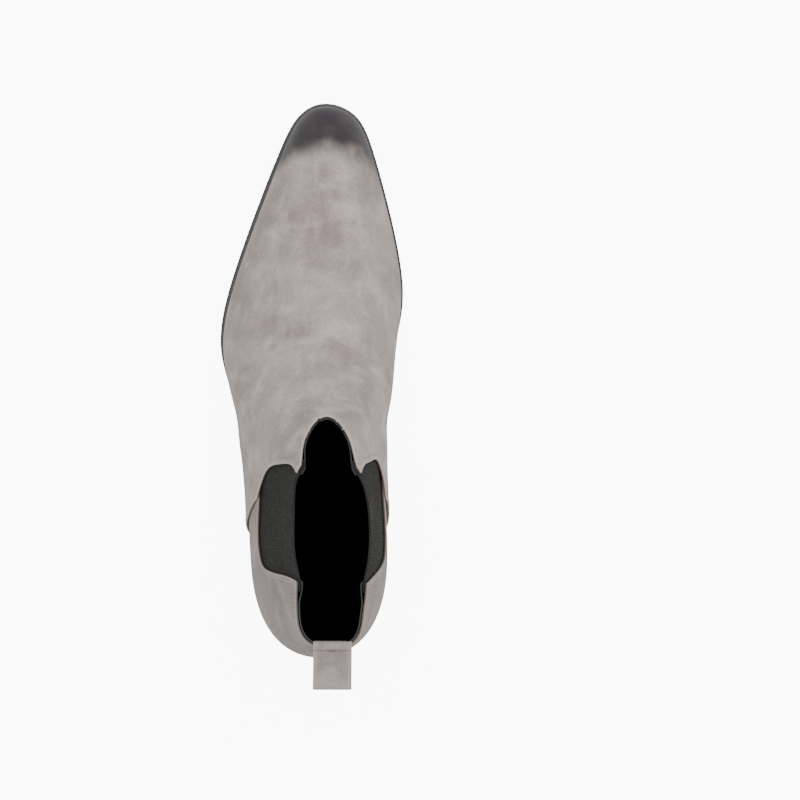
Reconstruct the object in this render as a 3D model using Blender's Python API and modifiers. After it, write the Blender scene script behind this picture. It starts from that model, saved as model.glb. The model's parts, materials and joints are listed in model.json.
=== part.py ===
"""Men's suede chelsea boot, left foot, with elastic side gores and a stacked heel.

Lengths are in millimetres and leave as metres through MM.  x runs from the lateral (outer)
side to the medial (inner) side, y from heel to toe and z up.  The last's stations count y from
the back of the heel; the model's origin is the middle of the heel's tread face, on the ground.

The upper is one surface round the last.  Its columns are cubic Beziers that climb from the
feather edge, where the upper meets the sole, to the crest: the ridge over the foot, or the ring
at the top of the shaft.  `u` counts columns round the boot (0 toe, 1 heel, negative on the
medial side) and `b` runs up a column from 0 to 1.  Suede, stiffeners and lining are shells of
this one surface at different depths, so they nest, and prisms drawn in side view cut the panels.
"""

import math

import bmesh
import bpy
import numpy as np

MM = 0.001

# ---- Driving dimensions (millimetres) -------------------------------------------------------
SOLE_LENGTH = 308.5
BALL_WIDTH = 102.4
SHAFT_HEIGHT = 127.0        # from the sole's top under the heel to the ring of the shaft
HEEL_HEIGHT = 26.0          # under the outsole, at the back
TOE_SPRING = 9.0            # rise of the outsole's underside at the toe
OUTSOLE = 5.0

CLEARANCE = 0.3             # air between pieces that touch
SUEDE = 1.4
STIFFENER = 1.2             # gore, toe puff, heel counter, stays: all between suede and lining
LINING = 0.9
INSOLE_BOARD = 2.2
BOARD_EASE = 0.6            # the board's edge stands off the leaning wall of the toe
SOCK_LINING = 1.5
SOCK_EASE = 0.3             # and the sock lining's edge off the board's
HEEL_PAD = 2.4
HEEL_PAD_FRONT = 80.0
HEEL_PAD_EASE = 4.0
PAD_RAMP = 22.0             # the sock lining comes down over this length ahead of the pad
PAD_RAMP_START = 2.0
LASTING_MARGIN = 11.0       # how far the upper is turned in under the insole
SHANK_LENGTH = 112.0
SHANK_WIDTH = 14.0
SHANK_THICKNESS = 1.2
SHANK_START = 36.0
SHANK_EASE = 0.2            # the straight shank under a curved board
FILLER_GAP = 20.0           # the filler starts this far ahead of the shank
FILLER_EASE = 0.9           # its edge stands off the turned-in layers

TOP_PIECE = 6.0             # rubber tread of the heel
LIFTS = 3
HEEL_BREAST = 62.0          # the heel's front face, from the back of the heel
HEEL_TAPER = 2.4            # the heel's tread stands in from its seat by this much
HEEL_INSET = 0.4            # the uppermost lift stands in from the outsole
NAIL_SHANK = 1.1            # radii
NAIL_HEAD = 2.2
NAIL_HEAD_DEPTH = 0.9
NAIL_BITE = 4.0             # how deep a nail goes into the lowest lift
NAIL_RING = 13.0
NAIL_CENTRE_Y = 34.0
NAIL_POINT = 2.0
NAIL_SPREAD = 112.0         # degrees to either side of the back
NAILS = 5

GORE_MARGIN = 7.0           # elastic hidden round its window
SEAM_LAP = 11.0             # the vamp laps the quarter by this much
LAP_SPARE = 2.5             # the lap starts this far above the turned layers
BACK_SEAM = 0.15            # half the gap of the back seam
COUNTER_TOP = 60.0

TAB_WIDTH = 20.5
TAB_LENGTH = 24.0
TAB_LAYER = 1.2
TAB_SLIT = 0.8
TAB_TAIL = 20.0
TAB_ANGLE = 35.0            # degrees above the horizontal, leaning back
TAB_SAG = 0.4               # the strap is flat where it crosses the topline, which bows forward
TAB_EASE = 0.1              # between the strap's flat bend and the bowed topline
TAB_BRIDGE_END = 0.9        # the bend stops this far short of the fold's axis

# ---- The last, drawn at this size ------------------------------------------------------------
DRAWN_LENGTH = 308.5
DRAWN_WIDTH = 102.4
DRAWN_SHAFT = 127.0
DRAWN_HEEL = 26.0
DRAWN_SPRING = 9.0
DRAWN_SOLE = 5.0

# y, share of the heel height, share of the toe spring: the outsole's underside
UNDERSIDE = (
    (0, 1.00, 0.0), (60, 0.92, 0.0), (100, 0.69, 0.0), (140, 0.34, 0.0), (175, 0.10, 0.0),
    (205, 0.00, 0.0), (240, 0.00, 0.12), (275, 0.00, 0.43), (308.5, 0.00, 1.0),
)
# y, lateral x, medial x, how far the upper stands in from it on each side: the outsole's edge
OUTLINE = (
    (308.5, 4.1, 4.1, 2.0, 2.0), (299.6, -12.7, 22.7, 2.1, 1.8), (282.7, -21.7, 30.5, 2.4, 1.6),
    (254.6, -33.0, 38.4, 2.6, 1.5), (220.9, -45.3, 45.7, 2.4, 1.4), (198.4, -52.1, 47.4, 2.3, 1.3),
    (170.3, -55.0, 42.0, 1.5, 1.1), (140, -46.5, 33.5, 0.7, 0.7), (110, -37.5, 30.0, 0.6, 0.6),
    (75, -34.5, 32.0, 0.6, 0.6), (40, -34.0, 33.5, 0.6, 0.6), (15, -25.5, 26.0, 0.6, 0.6),
    (0, 0.5, 0.5, 0.6, 0.6),
)
# y at the feather, then the column's lower handle (lateral and medial flare, z), its upper
# handle (lateral x, medial x, y, z) and, for columns that end on the ridge, the y they end at
COLUMNS = (
    (308.5, 1.5, 1.5, 27, 4.1, 4.1, 297.5, 35, 283),
    (299.6, 1.5, 1.5, 27, -5.5, 13.5, 292, 37, 282.5),
    (282.7, 1.5, 1.5, 26, -10, 18.5, 280, 40.5, 277), (254.6, 1.5, 1.5, 27, -15, 20.5, 251, 46.7, 250),
    (220.9, 1.5, 2, 29, -22, 25.5, 217, 54.5, 216), (198.4, 1.5, 3, 31, -24, 27, 192, 65, 188),
    (170.3, 1.5, 10, 38, -22, 30, 156, 91, 148), (150, 6, 17, 44, -19, 32, 134, 117, 122),
    (133, 10, 17, 50, -19, 32, 127, 119, 118), (110, 14, 16, 56, -20.5, 33.5, 113, 116, 118),
    (75, 14.5, 14, 62, -18.5, 35, 76, 115, 118), (40, 10, 11, 64, -15, 33.5, 42, 114, 118),
    (15, 7, 6.5, 63, -11.5, 28, 20, 113, 118), (0, 5.5, 5.5, 62, 8, 8, 15.5, 112, 118),
)
RIDGE_COLUMNS = 9           # of the columns above, those that end on the ridge
# y, x, z of the ridge, from the shaft down to the toe
RIDGE = (
    (112, 9, 170), (118, 8.6, 158), (124, 8.3, 142), (131, 8, 127), (139, 7, 113.5), (148, 6, 101),
    (158, 5, 90), (170, 3.6, 80), (185, 2.6, 70), (205, 1.8, 60.5), (230, 1.6, 52), (255, 2.2, 46),
    (272, 3.4, 42), (284, 4.1, 38.5), (300, 4.1, 31),
)
# y, x round the top of the shaft, from the front by the lateral side to the back and home again
RING = (
    (118, 8.6), (113.5, -1.5), (104, -8.8), (90, -11), (75, -11.7), (60, -11.2), (46, -9.3),
    (30, -8.3), (18, -6.0), (11.5, -0.3), (10.5, 10), (11.5, 20), (18, 24.6), (30, 26.3),
    (44, 28.5), (60, 31), (75, 31.5), (90, 29.8), (104, 25.1), (113.5, 18.4),
)
RING_BACK = 10              # the ring's point at the back
RING_Z = 158.0
NOSE_U = 0.515              # the column that ends where the ridge meets the ring
# share of the way round, share of the ring's half
RING_SHARE = (
    (NOSE_U, 0), (0.55, 0.045), (0.592, 0.15), (0.672, 0.38), (0.766, 0.61), (0.858, 0.81), (1, 1),
)

# ---- Lines drawn in side view: y, z ----------------------------------------------------------
TOPLINE = (
    (113, 172), (109.5, 161), (106.5, 157.6), (103.5, 156.6), (100, 154), (88, 152), (72, 151.5),
    (56, 153), (46, 156.5), (40, 152.5), (28, 148), (12, 146), (-12, 146),
)
# The gore's window on each side: its front edge down to the side seam, then its back edge up
GORE_FRONT = {
    "lateral": ((103.5, 172), (103.5, 157), (108, 142), (108, 126), (105.5, 108), (98, 96), (88, 88.5)),
    "medial": ((103.5, 172), (103.5, 157), (108, 142), (109.5, 126), (110, 108), (104, 95), (88, 88.5)),
}
GORE_BACK = {
    "lateral": ((62, 82), (54, 85), (50, 96), (48.5, 122), (46.5, 155), (46, 172)),
    "medial": ((68, 83), (59.5, 87), (54, 99), (50, 122), (45.5, 155), (45, 172)),
}
SIDE_SEAM = ((88, 88.5), (83.5, 77), (78, 65), (73.5, 53), (70, 43), (67, 34), (65, 20))

# ---- The scoop at the front of the topline, drawn across the instep: x, way up the instep ----
SCOOP_FOOT = (8.0, 132.0, 126.0)
SCOOP_RISE = 66.0           # degrees the instep climbs there
SCOOP = (
    (6.5, -2), (0.2, 3), (-3.2, 10), (-5.8, 17.3), (-7.2, 24), (-7.8, 32), (-8.5, 40), (-9.5, 60),
    (26.5, 60), (25.5, 40), (23.5, 34), (21.8, 26), (20, 19), (17, 11.5), (12.5, 3),
)
SCOOP_DEPTH = 22.0          # its cutter runs this far in and out of the instep
SCOOP_TAPER = 0.2           # and is this much narrower at its inner end, wider at its outer

COUNTER_EDGE = ((-20, COUNTER_TOP), (58, COUNTER_TOP - 3), (88, 42), (104, 14))
LAP_FRONT_Y = 136.0         # the vamp rises over the quarter behind this line
LAP_RISE = 22.0             # over this length
LAP_TOP = 92.0              # and below this height above the heel seat
LAP_FADE = 24.0
LINING_SEAM_Y = 72.0
TOE_PUFF_Y = 262.0
TOE_PUFF_LEAN = 4.0
TOE_PUFF_SPARE = 20.0       # its shell reaches this far past the cut
SIDES = {"lateral": -1, "medial": 1}
SIDE_REACH = 90.0           # prisms run this far to either side
OVER = 40.0                 # above the ring
UNDER = -20.0               # below the ground, and behind the heel

# ---- The lattice that every shell of the upper shares -----------------------------------------
SMALL_SHARE = 1e-3          # of a column, for slopes
TURN_SPARE = 1.6            # of height above the inner layers' turn
RIDGE_STEPS = 14
RING_STEPS = 13
ROWS = 9                    # above the first, which is just high enough for the inner layers to turn
VAMP_SHARE = 0.83           # the vamp's shells run back to this column on both sides
TAIL_SHARE = 0.85           # and the pull tab's sewn end starts at this one

STRETCH_X = BALL_WIDTH / DRAWN_WIDTH
STRETCH_Y = SOLE_LENGTH / DRAWN_LENGTH
STRETCH_Z = SHAFT_HEIGHT / DRAWN_SHAFT
REST_Y = HEEL_BREAST / 2 + 1.0


def spline(knots, values, at):
    """Natural cubic spline through the knots, read at `at`."""
    knots = np.asarray(knots, float)
    values = np.asarray(values, float)
    count = len(knots)
    gaps = np.diff(knots)
    rises = np.diff(values) / gaps
    system = np.eye(count)
    target = np.zeros(count)
    for i in range(1, count - 1):
        system[i, i - 1:i + 2] = gaps[i - 1], 2 * (gaps[i - 1] + gaps[i]), gaps[i]
        target[i] = 6 * (rises[i] - rises[i - 1])
    bend = np.linalg.solve(system, target)
    at = np.asarray(at, float)
    i = np.clip(np.searchsorted(knots, at) - 1, 0, count - 2)
    step = at - knots[i]
    slope = rises[i] - gaps[i] * (2 * bend[i] + bend[i + 1]) / 6
    turn = (bend[i + 1] - bend[i]) / (6 * gaps[i])
    return values[i] + step * (slope + step * (bend[i] / 2 + step * turn))


def smooth_step(share):
    """0 below 0, 1 above 1, and an even S between them."""
    share = np.clip(share, 0, 1)
    return share**2 * (3 - 2 * share)


def underside(y, heel, spring):
    """Height of the outsole's underside at a drawn y."""
    stations = np.array(UNDERSIDE)
    heights = heel * stations[:, 1] + spring * stations[:, 2]
    return spline(stations[:, 0], heights, y)


def sole_bottom(y):
    """Height of the outsole's underside at a real y."""
    return underside(y / STRETCH_Y, HEEL_HEIGHT, TOE_SPRING)


def sole_top(y):
    """Height of the outsole's top at a real y."""
    return sole_bottom(y) + OUTSOLE


def real(x, y, z):
    """A drawn point at the real size: stretched, and lifted with the sole under it."""
    drawn_top = underside(y, DRAWN_HEEL, DRAWN_SPRING) + DRAWN_SOLE
    return x * STRETCH_X, y * STRETCH_Y, sole_top(y * STRETCH_Y) + (z - drawn_top) * STRETCH_Z


def share_of(y):
    """Column number u, 0 at the toe and 1 at the heel, whose feather point has this drawn y."""
    return np.arccos(np.clip(2 * np.asarray(y, float) / DRAWN_LENGTH - 1, -1, 1)) / math.pi


def around(table, lateral, medial, u):
    """Read two columns of a station table, lateral for u > 0, as one closed smooth curve."""
    table = np.array(table)
    shares = share_of(table[:, 0])
    knots = np.concatenate([shares, 2 - shares[-2:0:-1]])
    values = np.concatenate([table[:, lateral], table[-2:0:-1, medial]])
    knots = np.concatenate([knots - 2, knots, knots + 2])
    return spline(knots, np.tile(values, 3), u)


def edge(u):
    """The outsole's edge in plan, drawn size."""
    return around(OUTLINE, 1, 2, u), DRAWN_LENGTH * (1 + np.cos(math.pi * u)) / 2


def edge_inset(u, inset):
    """The outsole's edge at the real size, moved inwards by `inset`, and its outward normal."""
    x, y = edge(u)
    x0, y0 = edge(u - SMALL_SHARE)
    x1, y1 = edge(u + SMALL_SHARE)
    along_x = (x1 - x0) * STRETCH_X
    along_y = (y1 - y0) * STRETCH_Y
    length = np.hypot(along_x, along_y)
    out_x = along_y / length
    out_y = -along_x / length
    return x * STRETCH_X - inset * out_x, y * STRETCH_Y - inset * out_y, out_x, out_y


def feather(u, inset=0.0):
    """Foot of the upper at column u: real x, y, z and outward normal in plan."""
    x, y, out_x, out_y = edge_inset(u, around(OUTLINE, 3, 4, u) + inset)
    return x, y, sole_top(y) + CLEARANCE, out_x, out_y


def ring_loop(share):
    """Point on the ring, share 0 at the front, 1 at the front again."""
    loop = np.array(RING + RING[:1], float)
    steps = np.hypot(*np.diff(loop, axis=0).T)
    arc = np.concatenate([[0], np.cumsum(steps)]) / steps.sum()
    knots = np.concatenate([arc[:-1] - 1, arc[:-1], arc + 1])
    points = np.vstack([loop[:-1], loop[:-1], loop])
    return spline(knots, points[:, 1], share), spline(knots, points[:, 0], share), arc[RING_BACK]


def crest(u):
    """Top of column u: on the ridge as far as the nose, then on the ring of the shaft."""
    u = np.where(np.asarray(u) > 1, np.asarray(u) - 2, u)
    half = np.abs(u)
    ridge = np.array(RIDGE, float)
    stations = np.array(COLUMNS[:RIDGE_COLUMNS])
    knots = np.append(share_of(stations[:, 0]), NOSE_U)
    nose_y = RING[0][0]
    y_ridge = spline(knots, np.append(stations[:, 8], nose_y), np.clip(half, 0, NOSE_U))
    x_ridge = spline(ridge[:, 0], ridge[:, 1], y_ridge)
    z_ridge = np.minimum(spline(ridge[:, 0], ridge[:, 2], y_ridge), RING_Z)
    share = np.array(RING_SHARE)
    way = np.clip(spline(share[:, 0], share[:, 1], np.clip(half, NOSE_U, 1)), 0, 1)
    back = ring_loop(0.0)[2]
    x_ring, y_ring, _ = ring_loop(np.where(u < 0, 1 - way * (1 - back), way * back))
    on_ridge = half <= NOSE_U
    return np.where(on_ridge, x_ridge, x_ring), np.where(on_ridge, y_ridge, y_ring), \
        np.where(on_ridge, z_ridge, RING_Z)


def surface(u, b):
    """Points of the outer face of the upper at the real size."""
    u, b = np.broadcast_arrays(np.asarray(u, float), np.asarray(b, float))
    foot = np.stack(feather(u)[:3])
    out_x, out_y = feather(u)[3:]
    flare = around(COLUMNS, 1, 2, u)
    edge_x, edge_y = edge(u)
    lower_z = real(edge_x, edge_y, around(COLUMNS, 3, 3, u))[2]
    lower = np.stack([foot[0] + flare * out_x, foot[1] + flare * out_y, lower_z])
    upper = np.stack(real(*(around(COLUMNS, at, at + (at == 4), u) for at in (4, 6, 7))))
    top = np.stack(real(*crest(u)))
    rest = 1 - b
    return foot * rest**3 + 3 * lower * b * rest**2 + 3 * upper * b**2 * rest + top * b**3


def outward(u, b):
    """Unit normals of the upper's outer face; on the ridge, the mean of its two sides."""
    def one_side(share):
        height = np.clip(b, 0.02, 0.97)
        by_u = surface(share + SMALL_SHARE, height) - surface(share - SMALL_SHARE, height)
        by_b = surface(share, height + SMALL_SHARE) - surface(share, height - SMALL_SHARE)
        normal = np.cross(by_u, by_b, axis=0)
        return normal / np.linalg.norm(normal, axis=0)

    here = one_side(u)
    both = here + one_side(-u)
    both = both / np.linalg.norm(both, axis=0)
    return np.where((b >= 1) & (np.abs(u) <= NOSE_U), both, here)


def turn_height():
    """How high above the feather edge the innermost layer has turned from sole to wall."""
    return SUEDE + STIFFENER + LINING + 2 * CLEARANCE + TURN_SPARE


def wall_heights(shares):
    """Rows of the lattice: the feather edge, one above the turn, then even steps to the crest."""
    foot_z = feather(shares)[2]
    edge_x, edge_y = edge(shares)
    lower_z = real(edge_x, edge_y, around(COLUMNS, 3, 3, shares))[2]
    first = turn_height() / (3 * (lower_z - foot_z))
    steps = np.linspace(0, 1, ROWS)[:, None]
    return np.vstack([0 * first[None], first + (1 - first) * steps])


def lattice_shares():
    """Column numbers of one side, from the toe to the heel; one of them is the nose."""
    return np.append(np.linspace(0, NOSE_U, RIDGE_STEPS), np.linspace(NOSE_U, 1, RING_STEPS + 1)[1:])


def collection(name):
    made = bpy.data.collections.new(name)
    bpy.context.scene.collection.children.link(made)
    return made


def paint(name, colour, roughness, metallic=0.0):
    """A plain Principled material."""
    material = bpy.data.materials.new(name)
    material.use_nodes = True
    shader = material.node_tree.nodes["Principled BSDF"]
    shader.inputs["Base Color"].default_value = (*colour, 1.0)
    shader.inputs["Roughness"].default_value = roughness
    shader.inputs["Metallic"].default_value = metallic
    return material


def solid(name, points, faces, home, material=None, smooth=False, origin=(0.0, REST_Y, 0.0)):
    """An object from points in millimetres of the last; its origin is one of those points."""
    points = (np.asarray(points, float) - np.array(origin)) * MM
    mesh = bpy.data.meshes.new(name)
    mesh.from_pydata(points.tolist(), [], faces)
    mesh.validate()
    frame = bmesh.new()
    frame.from_mesh(mesh)
    bmesh.ops.recalc_face_normals(frame, faces=frame.faces)
    frame.to_mesh(mesh)
    frame.free()
    if smooth:
        mesh.shade_smooth()
        mesh.set_sharp_from_angle(angle=math.radians(50))
    made = bpy.data.objects.new(name, mesh)
    made.location = (np.array(origin) - np.array((0.0, REST_Y, 0.0))) * MM
    if material:
        mesh.materials.append(material)
    home.objects.link(made)
    return made


def wire(made):
    made.hide_render = True
    made.display_type = "WIRE"
    return made


def cut(target, cutter, operation="DIFFERENCE"):
    modifier = target.modifiers.new(f"{operation.lower()} {cutter.name}", "BOOLEAN")
    modifier.operation = operation
    modifier.object = cutter
    modifier.solver = "EXACT"
    return target


def shell(name, shares, outer, inner, home, material, lift=None):
    """A layer of the upper between two depths, turned in under the insole at its foot.

    `lift` tells how far the layer stands out at real points above its foot.  Columns on the
    ridge share their top point with the same column of the other side.
    """
    shares = np.asarray(shares, float)
    grid_u = np.tile(shares, (ROWS + 1, 1))
    grid_b = wall_heights(shares)
    walls = surface(grid_u, grid_b)
    normals = outward(grid_u, grid_b)
    foot_y = feather(shares)[1]
    slope = sole_top(foot_y + 0.5) - sole_top(foot_y - 0.5)
    down = np.stack([0 * slope, slope, -np.ones_like(slope)]) / np.hypot(1, slope)
    normals[:, 0] = (normals[:, 0] + down) / (1 + (normals[:, 0] * down).sum(axis=0))
    turned = np.stack(feather(shares, LASTING_MARGIN)[:3])
    points = np.concatenate([turned[:, None], walls], axis=1)
    normals = np.concatenate([down[:, None], normals], axis=1)
    stands_out = np.zeros(points.shape[1:])
    if lift:
        stands_out[2:] = lift(points[1, 2:], points[2, 2:])
    layers = [points - normals * (depth - stands_out) for depth in (outer, inner)]

    rows = ROWS + 2
    columns = len(shares)
    twins = {round(share, 6): column for column, share in enumerate(shares)}

    def corner(column, row):
        on_ridge = row == rows - 1 and -NOSE_U - 1e-9 <= shares[column] < 0
        if on_ridge:
            column = twins[round(-shares[column], 6)]
        return row * columns + column

    sheet = []
    for column in range(columns - 1):
        for row in range(rows - 1):
            diagonal = [corner(column, row), corner(column + 1, row + 1)]
            sheet.append([diagonal[0], corner(column + 1, row), diagonal[1]])
            sheet.append([diagonal[0], diagonal[1], corner(column, row + 1)])
    edges = {}
    for face in sheet:
        for pair in zip(face, face[1:] + face[:1]):
            edges.setdefault(frozenset(pair), []).append(pair)
    rims = [pairs[0] for pairs in edges.values() if len(pairs) == 1]
    count = rows * columns
    faces = sheet + [[index + count for index in reversed(face)] for face in sheet]
    faces += [[second, first, first + count, second + count] for first, second in rims]
    kept = sorted({index for face in faces for index in face})
    renumber = {old: new for new, old in enumerate(kept)}
    faces = [[renumber[index] for index in face] for face in faces]
    corners = np.vstack([layer.reshape(3, -1).T for layer in layers])[kept]
    return solid(name, corners, faces, home, material, smooth=True)


def side_line(points, per_span=4):
    """A smooth line in side view through hand-set points, at the real size."""
    points = np.array(points, float)
    arc = np.concatenate([[0], np.cumsum(np.hypot(*np.diff(points, axis=0).T))])
    at = np.interp(np.arange((len(arc) - 1) * per_span + 1) / per_span, np.arange(len(arc)), arc)
    _, y, z = real(0.0, spline(arc, points[:, 0], at), spline(arc, points[:, 1], at))
    return np.column_stack([y, z])


def tube_faces(count):
    """Walls between two like rings of points, and a cap on each."""
    walls = [[i, (i + 1) % count, (i + 1) % count + count, i + count] for i in range(count)]
    return walls + [list(range(count)), list(range(2 * count - 1, count - 1, -1))]


def prism(name, outline, home, side=0, reach=None):
    """A cutter: a closed outline of y, z, run out to both sides or to one, or between two x."""
    middle = RING[RING_BACK][1] * STRETCH_X
    low, high = reach or (-SIDE_REACH if side <= 0 else middle, SIDE_REACH if side >= 0 else middle)
    points = [(x, y, z) for x in (low, high) for y, z in outline]
    return wire(solid(name, points, tube_faces(len(outline)), home))


def scoop_cutter(home):
    """The cutter of the front scoop: its outline run through the instep at a right angle."""
    rise = math.radians(SCOOP_RISE)
    along = np.array([0, -math.cos(rise), math.sin(rise)])
    out = np.array([0, math.sin(rise), math.cos(rise)])
    outline = np.array(SCOOP, float)
    points = []
    for sign in (-1, 1):
        across = SCOOP_FOOT[0] + (outline[:, 0] - SCOOP_FOOT[0]) * (1 + sign * SCOOP_TAPER)
        ring = np.array(SCOOP_FOOT) * (0, 1, 1) + outline[:, 1:] * along + out * sign * SCOOP_DEPTH
        points.append(np.column_stack(real(across, ring[:, 1], ring[:, 2])))
    return wire(solid("cut_scoop", np.vstack(points), tube_faces(len(outline)), home))


def grown(outline, margin):
    """A closed outline moved outwards by a margin."""
    ahead = np.roll(outline, -1, axis=0) - np.roll(outline, 1, axis=0)
    normal = np.column_stack([ahead[:, 1], -ahead[:, 0]]) / np.hypot(*ahead.T)[:, None]
    following = np.roll(outline, -1, axis=0)
    area = np.sum(outline[:, 0] * following[:, 1] - outline[:, 1] * following[:, 0])
    return outline + normal * margin * np.sign(area)


def plate(name, shares, inset, bottom, top, home, material, taper=0.0):
    """A slab under or in the boot: rungs between the lateral and the medial edge.

    `inset` is how far its edge stands in from the outsole's, `bottom` and `top` are heights at a
    real y, and `taper` is how much further in its bottom edge stands.
    """
    levels = []
    for height, extra in ((bottom, taper), (top, 0.0)):
        left = edge_inset(shares, inset(shares) + extra)
        right = edge_inset(-shares, inset(-shares) + extra)
        levels.append([np.column_stack([x, y, height(y)]) for x, y in (left[:2], right[:2])])
    tip_first = shares[0] == 0
    tip_last = shares[-1] == 1
    count = len(shares)
    points = np.vstack([side for level in levels for side in level])

    def corner(level, side, row):
        if (tip_first and row == 0) or (tip_last and row == count - 1):
            side = 0
        return level * 2 * count + side * count + row

    def quad(first, second, row, ahead):
        """Corners of one row and the next, along two of the slab's four edges."""
        return [corner(*first, row), corner(*second, row), corner(*second, ahead), corner(*first, ahead)]

    faces = []
    for row in range(count - 1):
        for level in (0, 1):
            faces.append(quad((level, 0), (level, 1), row, row + 1))
        for side in (0, 1):
            faces.append(quad((0, side), (1, side), row, row + 1))
    for row, tip in ((0, tip_first), (count - 1, tip_last)):
        if not tip:
            faces.append([corner(0, 0, row), corner(0, 1, row), corner(1, 1, row), corner(1, 0, row)])
    faces = [list(dict.fromkeys(face)) for face in faces]
    faces = [face for face in faces if len(face) > 2]
    kept = sorted({index for face in faces for index in face})
    renumber = {old: new for new, old in enumerate(kept)}
    faces = [[renumber[index] for index in face] for face in faces]
    return solid(name, points[kept], faces, home, material, smooth=True)


def bar(name, path, width, thickness, centre_x, home, material, origin):
    """A flat strap across x: its centre line is y, z points, its section width by thickness."""
    path = np.array(path, float)
    ahead = np.gradient(path, axis=0)
    normal = np.column_stack([-ahead[:, 1], ahead[:, 0]]) / np.hypot(*ahead.T)[:, None]
    outline = np.vstack([path + normal * thickness / 2, (path - normal * thickness / 2)[::-1]])
    points = [(centre_x + x, y, z) for x in (-width / 2, width / 2) for y, z in outline]
    return solid(name, points, tube_faces(len(outline)), home, material, origin=origin)


def turned(name, profile, place, home, material=None):
    """A turned piece about a vertical axis at `place`: radius, z pairs, top to bottom."""
    curve = bpy.data.meshes.new(name)
    points = [(radius * MM, 0, z * MM) for radius, z in profile]
    curve.from_pydata(points, [(i, i + 1) for i in range(len(points) - 1)], [])
    made = bpy.data.objects.new(name, curve)
    made.location = (place[0] * MM, (place[1] - REST_Y) * MM, 0)
    if material:
        curve.materials.append(material)
    screw = made.modifiers.new("turn", "SCREW")
    screw.steps = 10
    screw.render_steps = 10
    screw.use_merge_vertices = True
    screw.merge_threshold = 0.000001
    home.objects.link(made)
    return made


def clear_scene():
    for made in list(bpy.data.objects):
        bpy.data.objects.remove(made)


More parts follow.
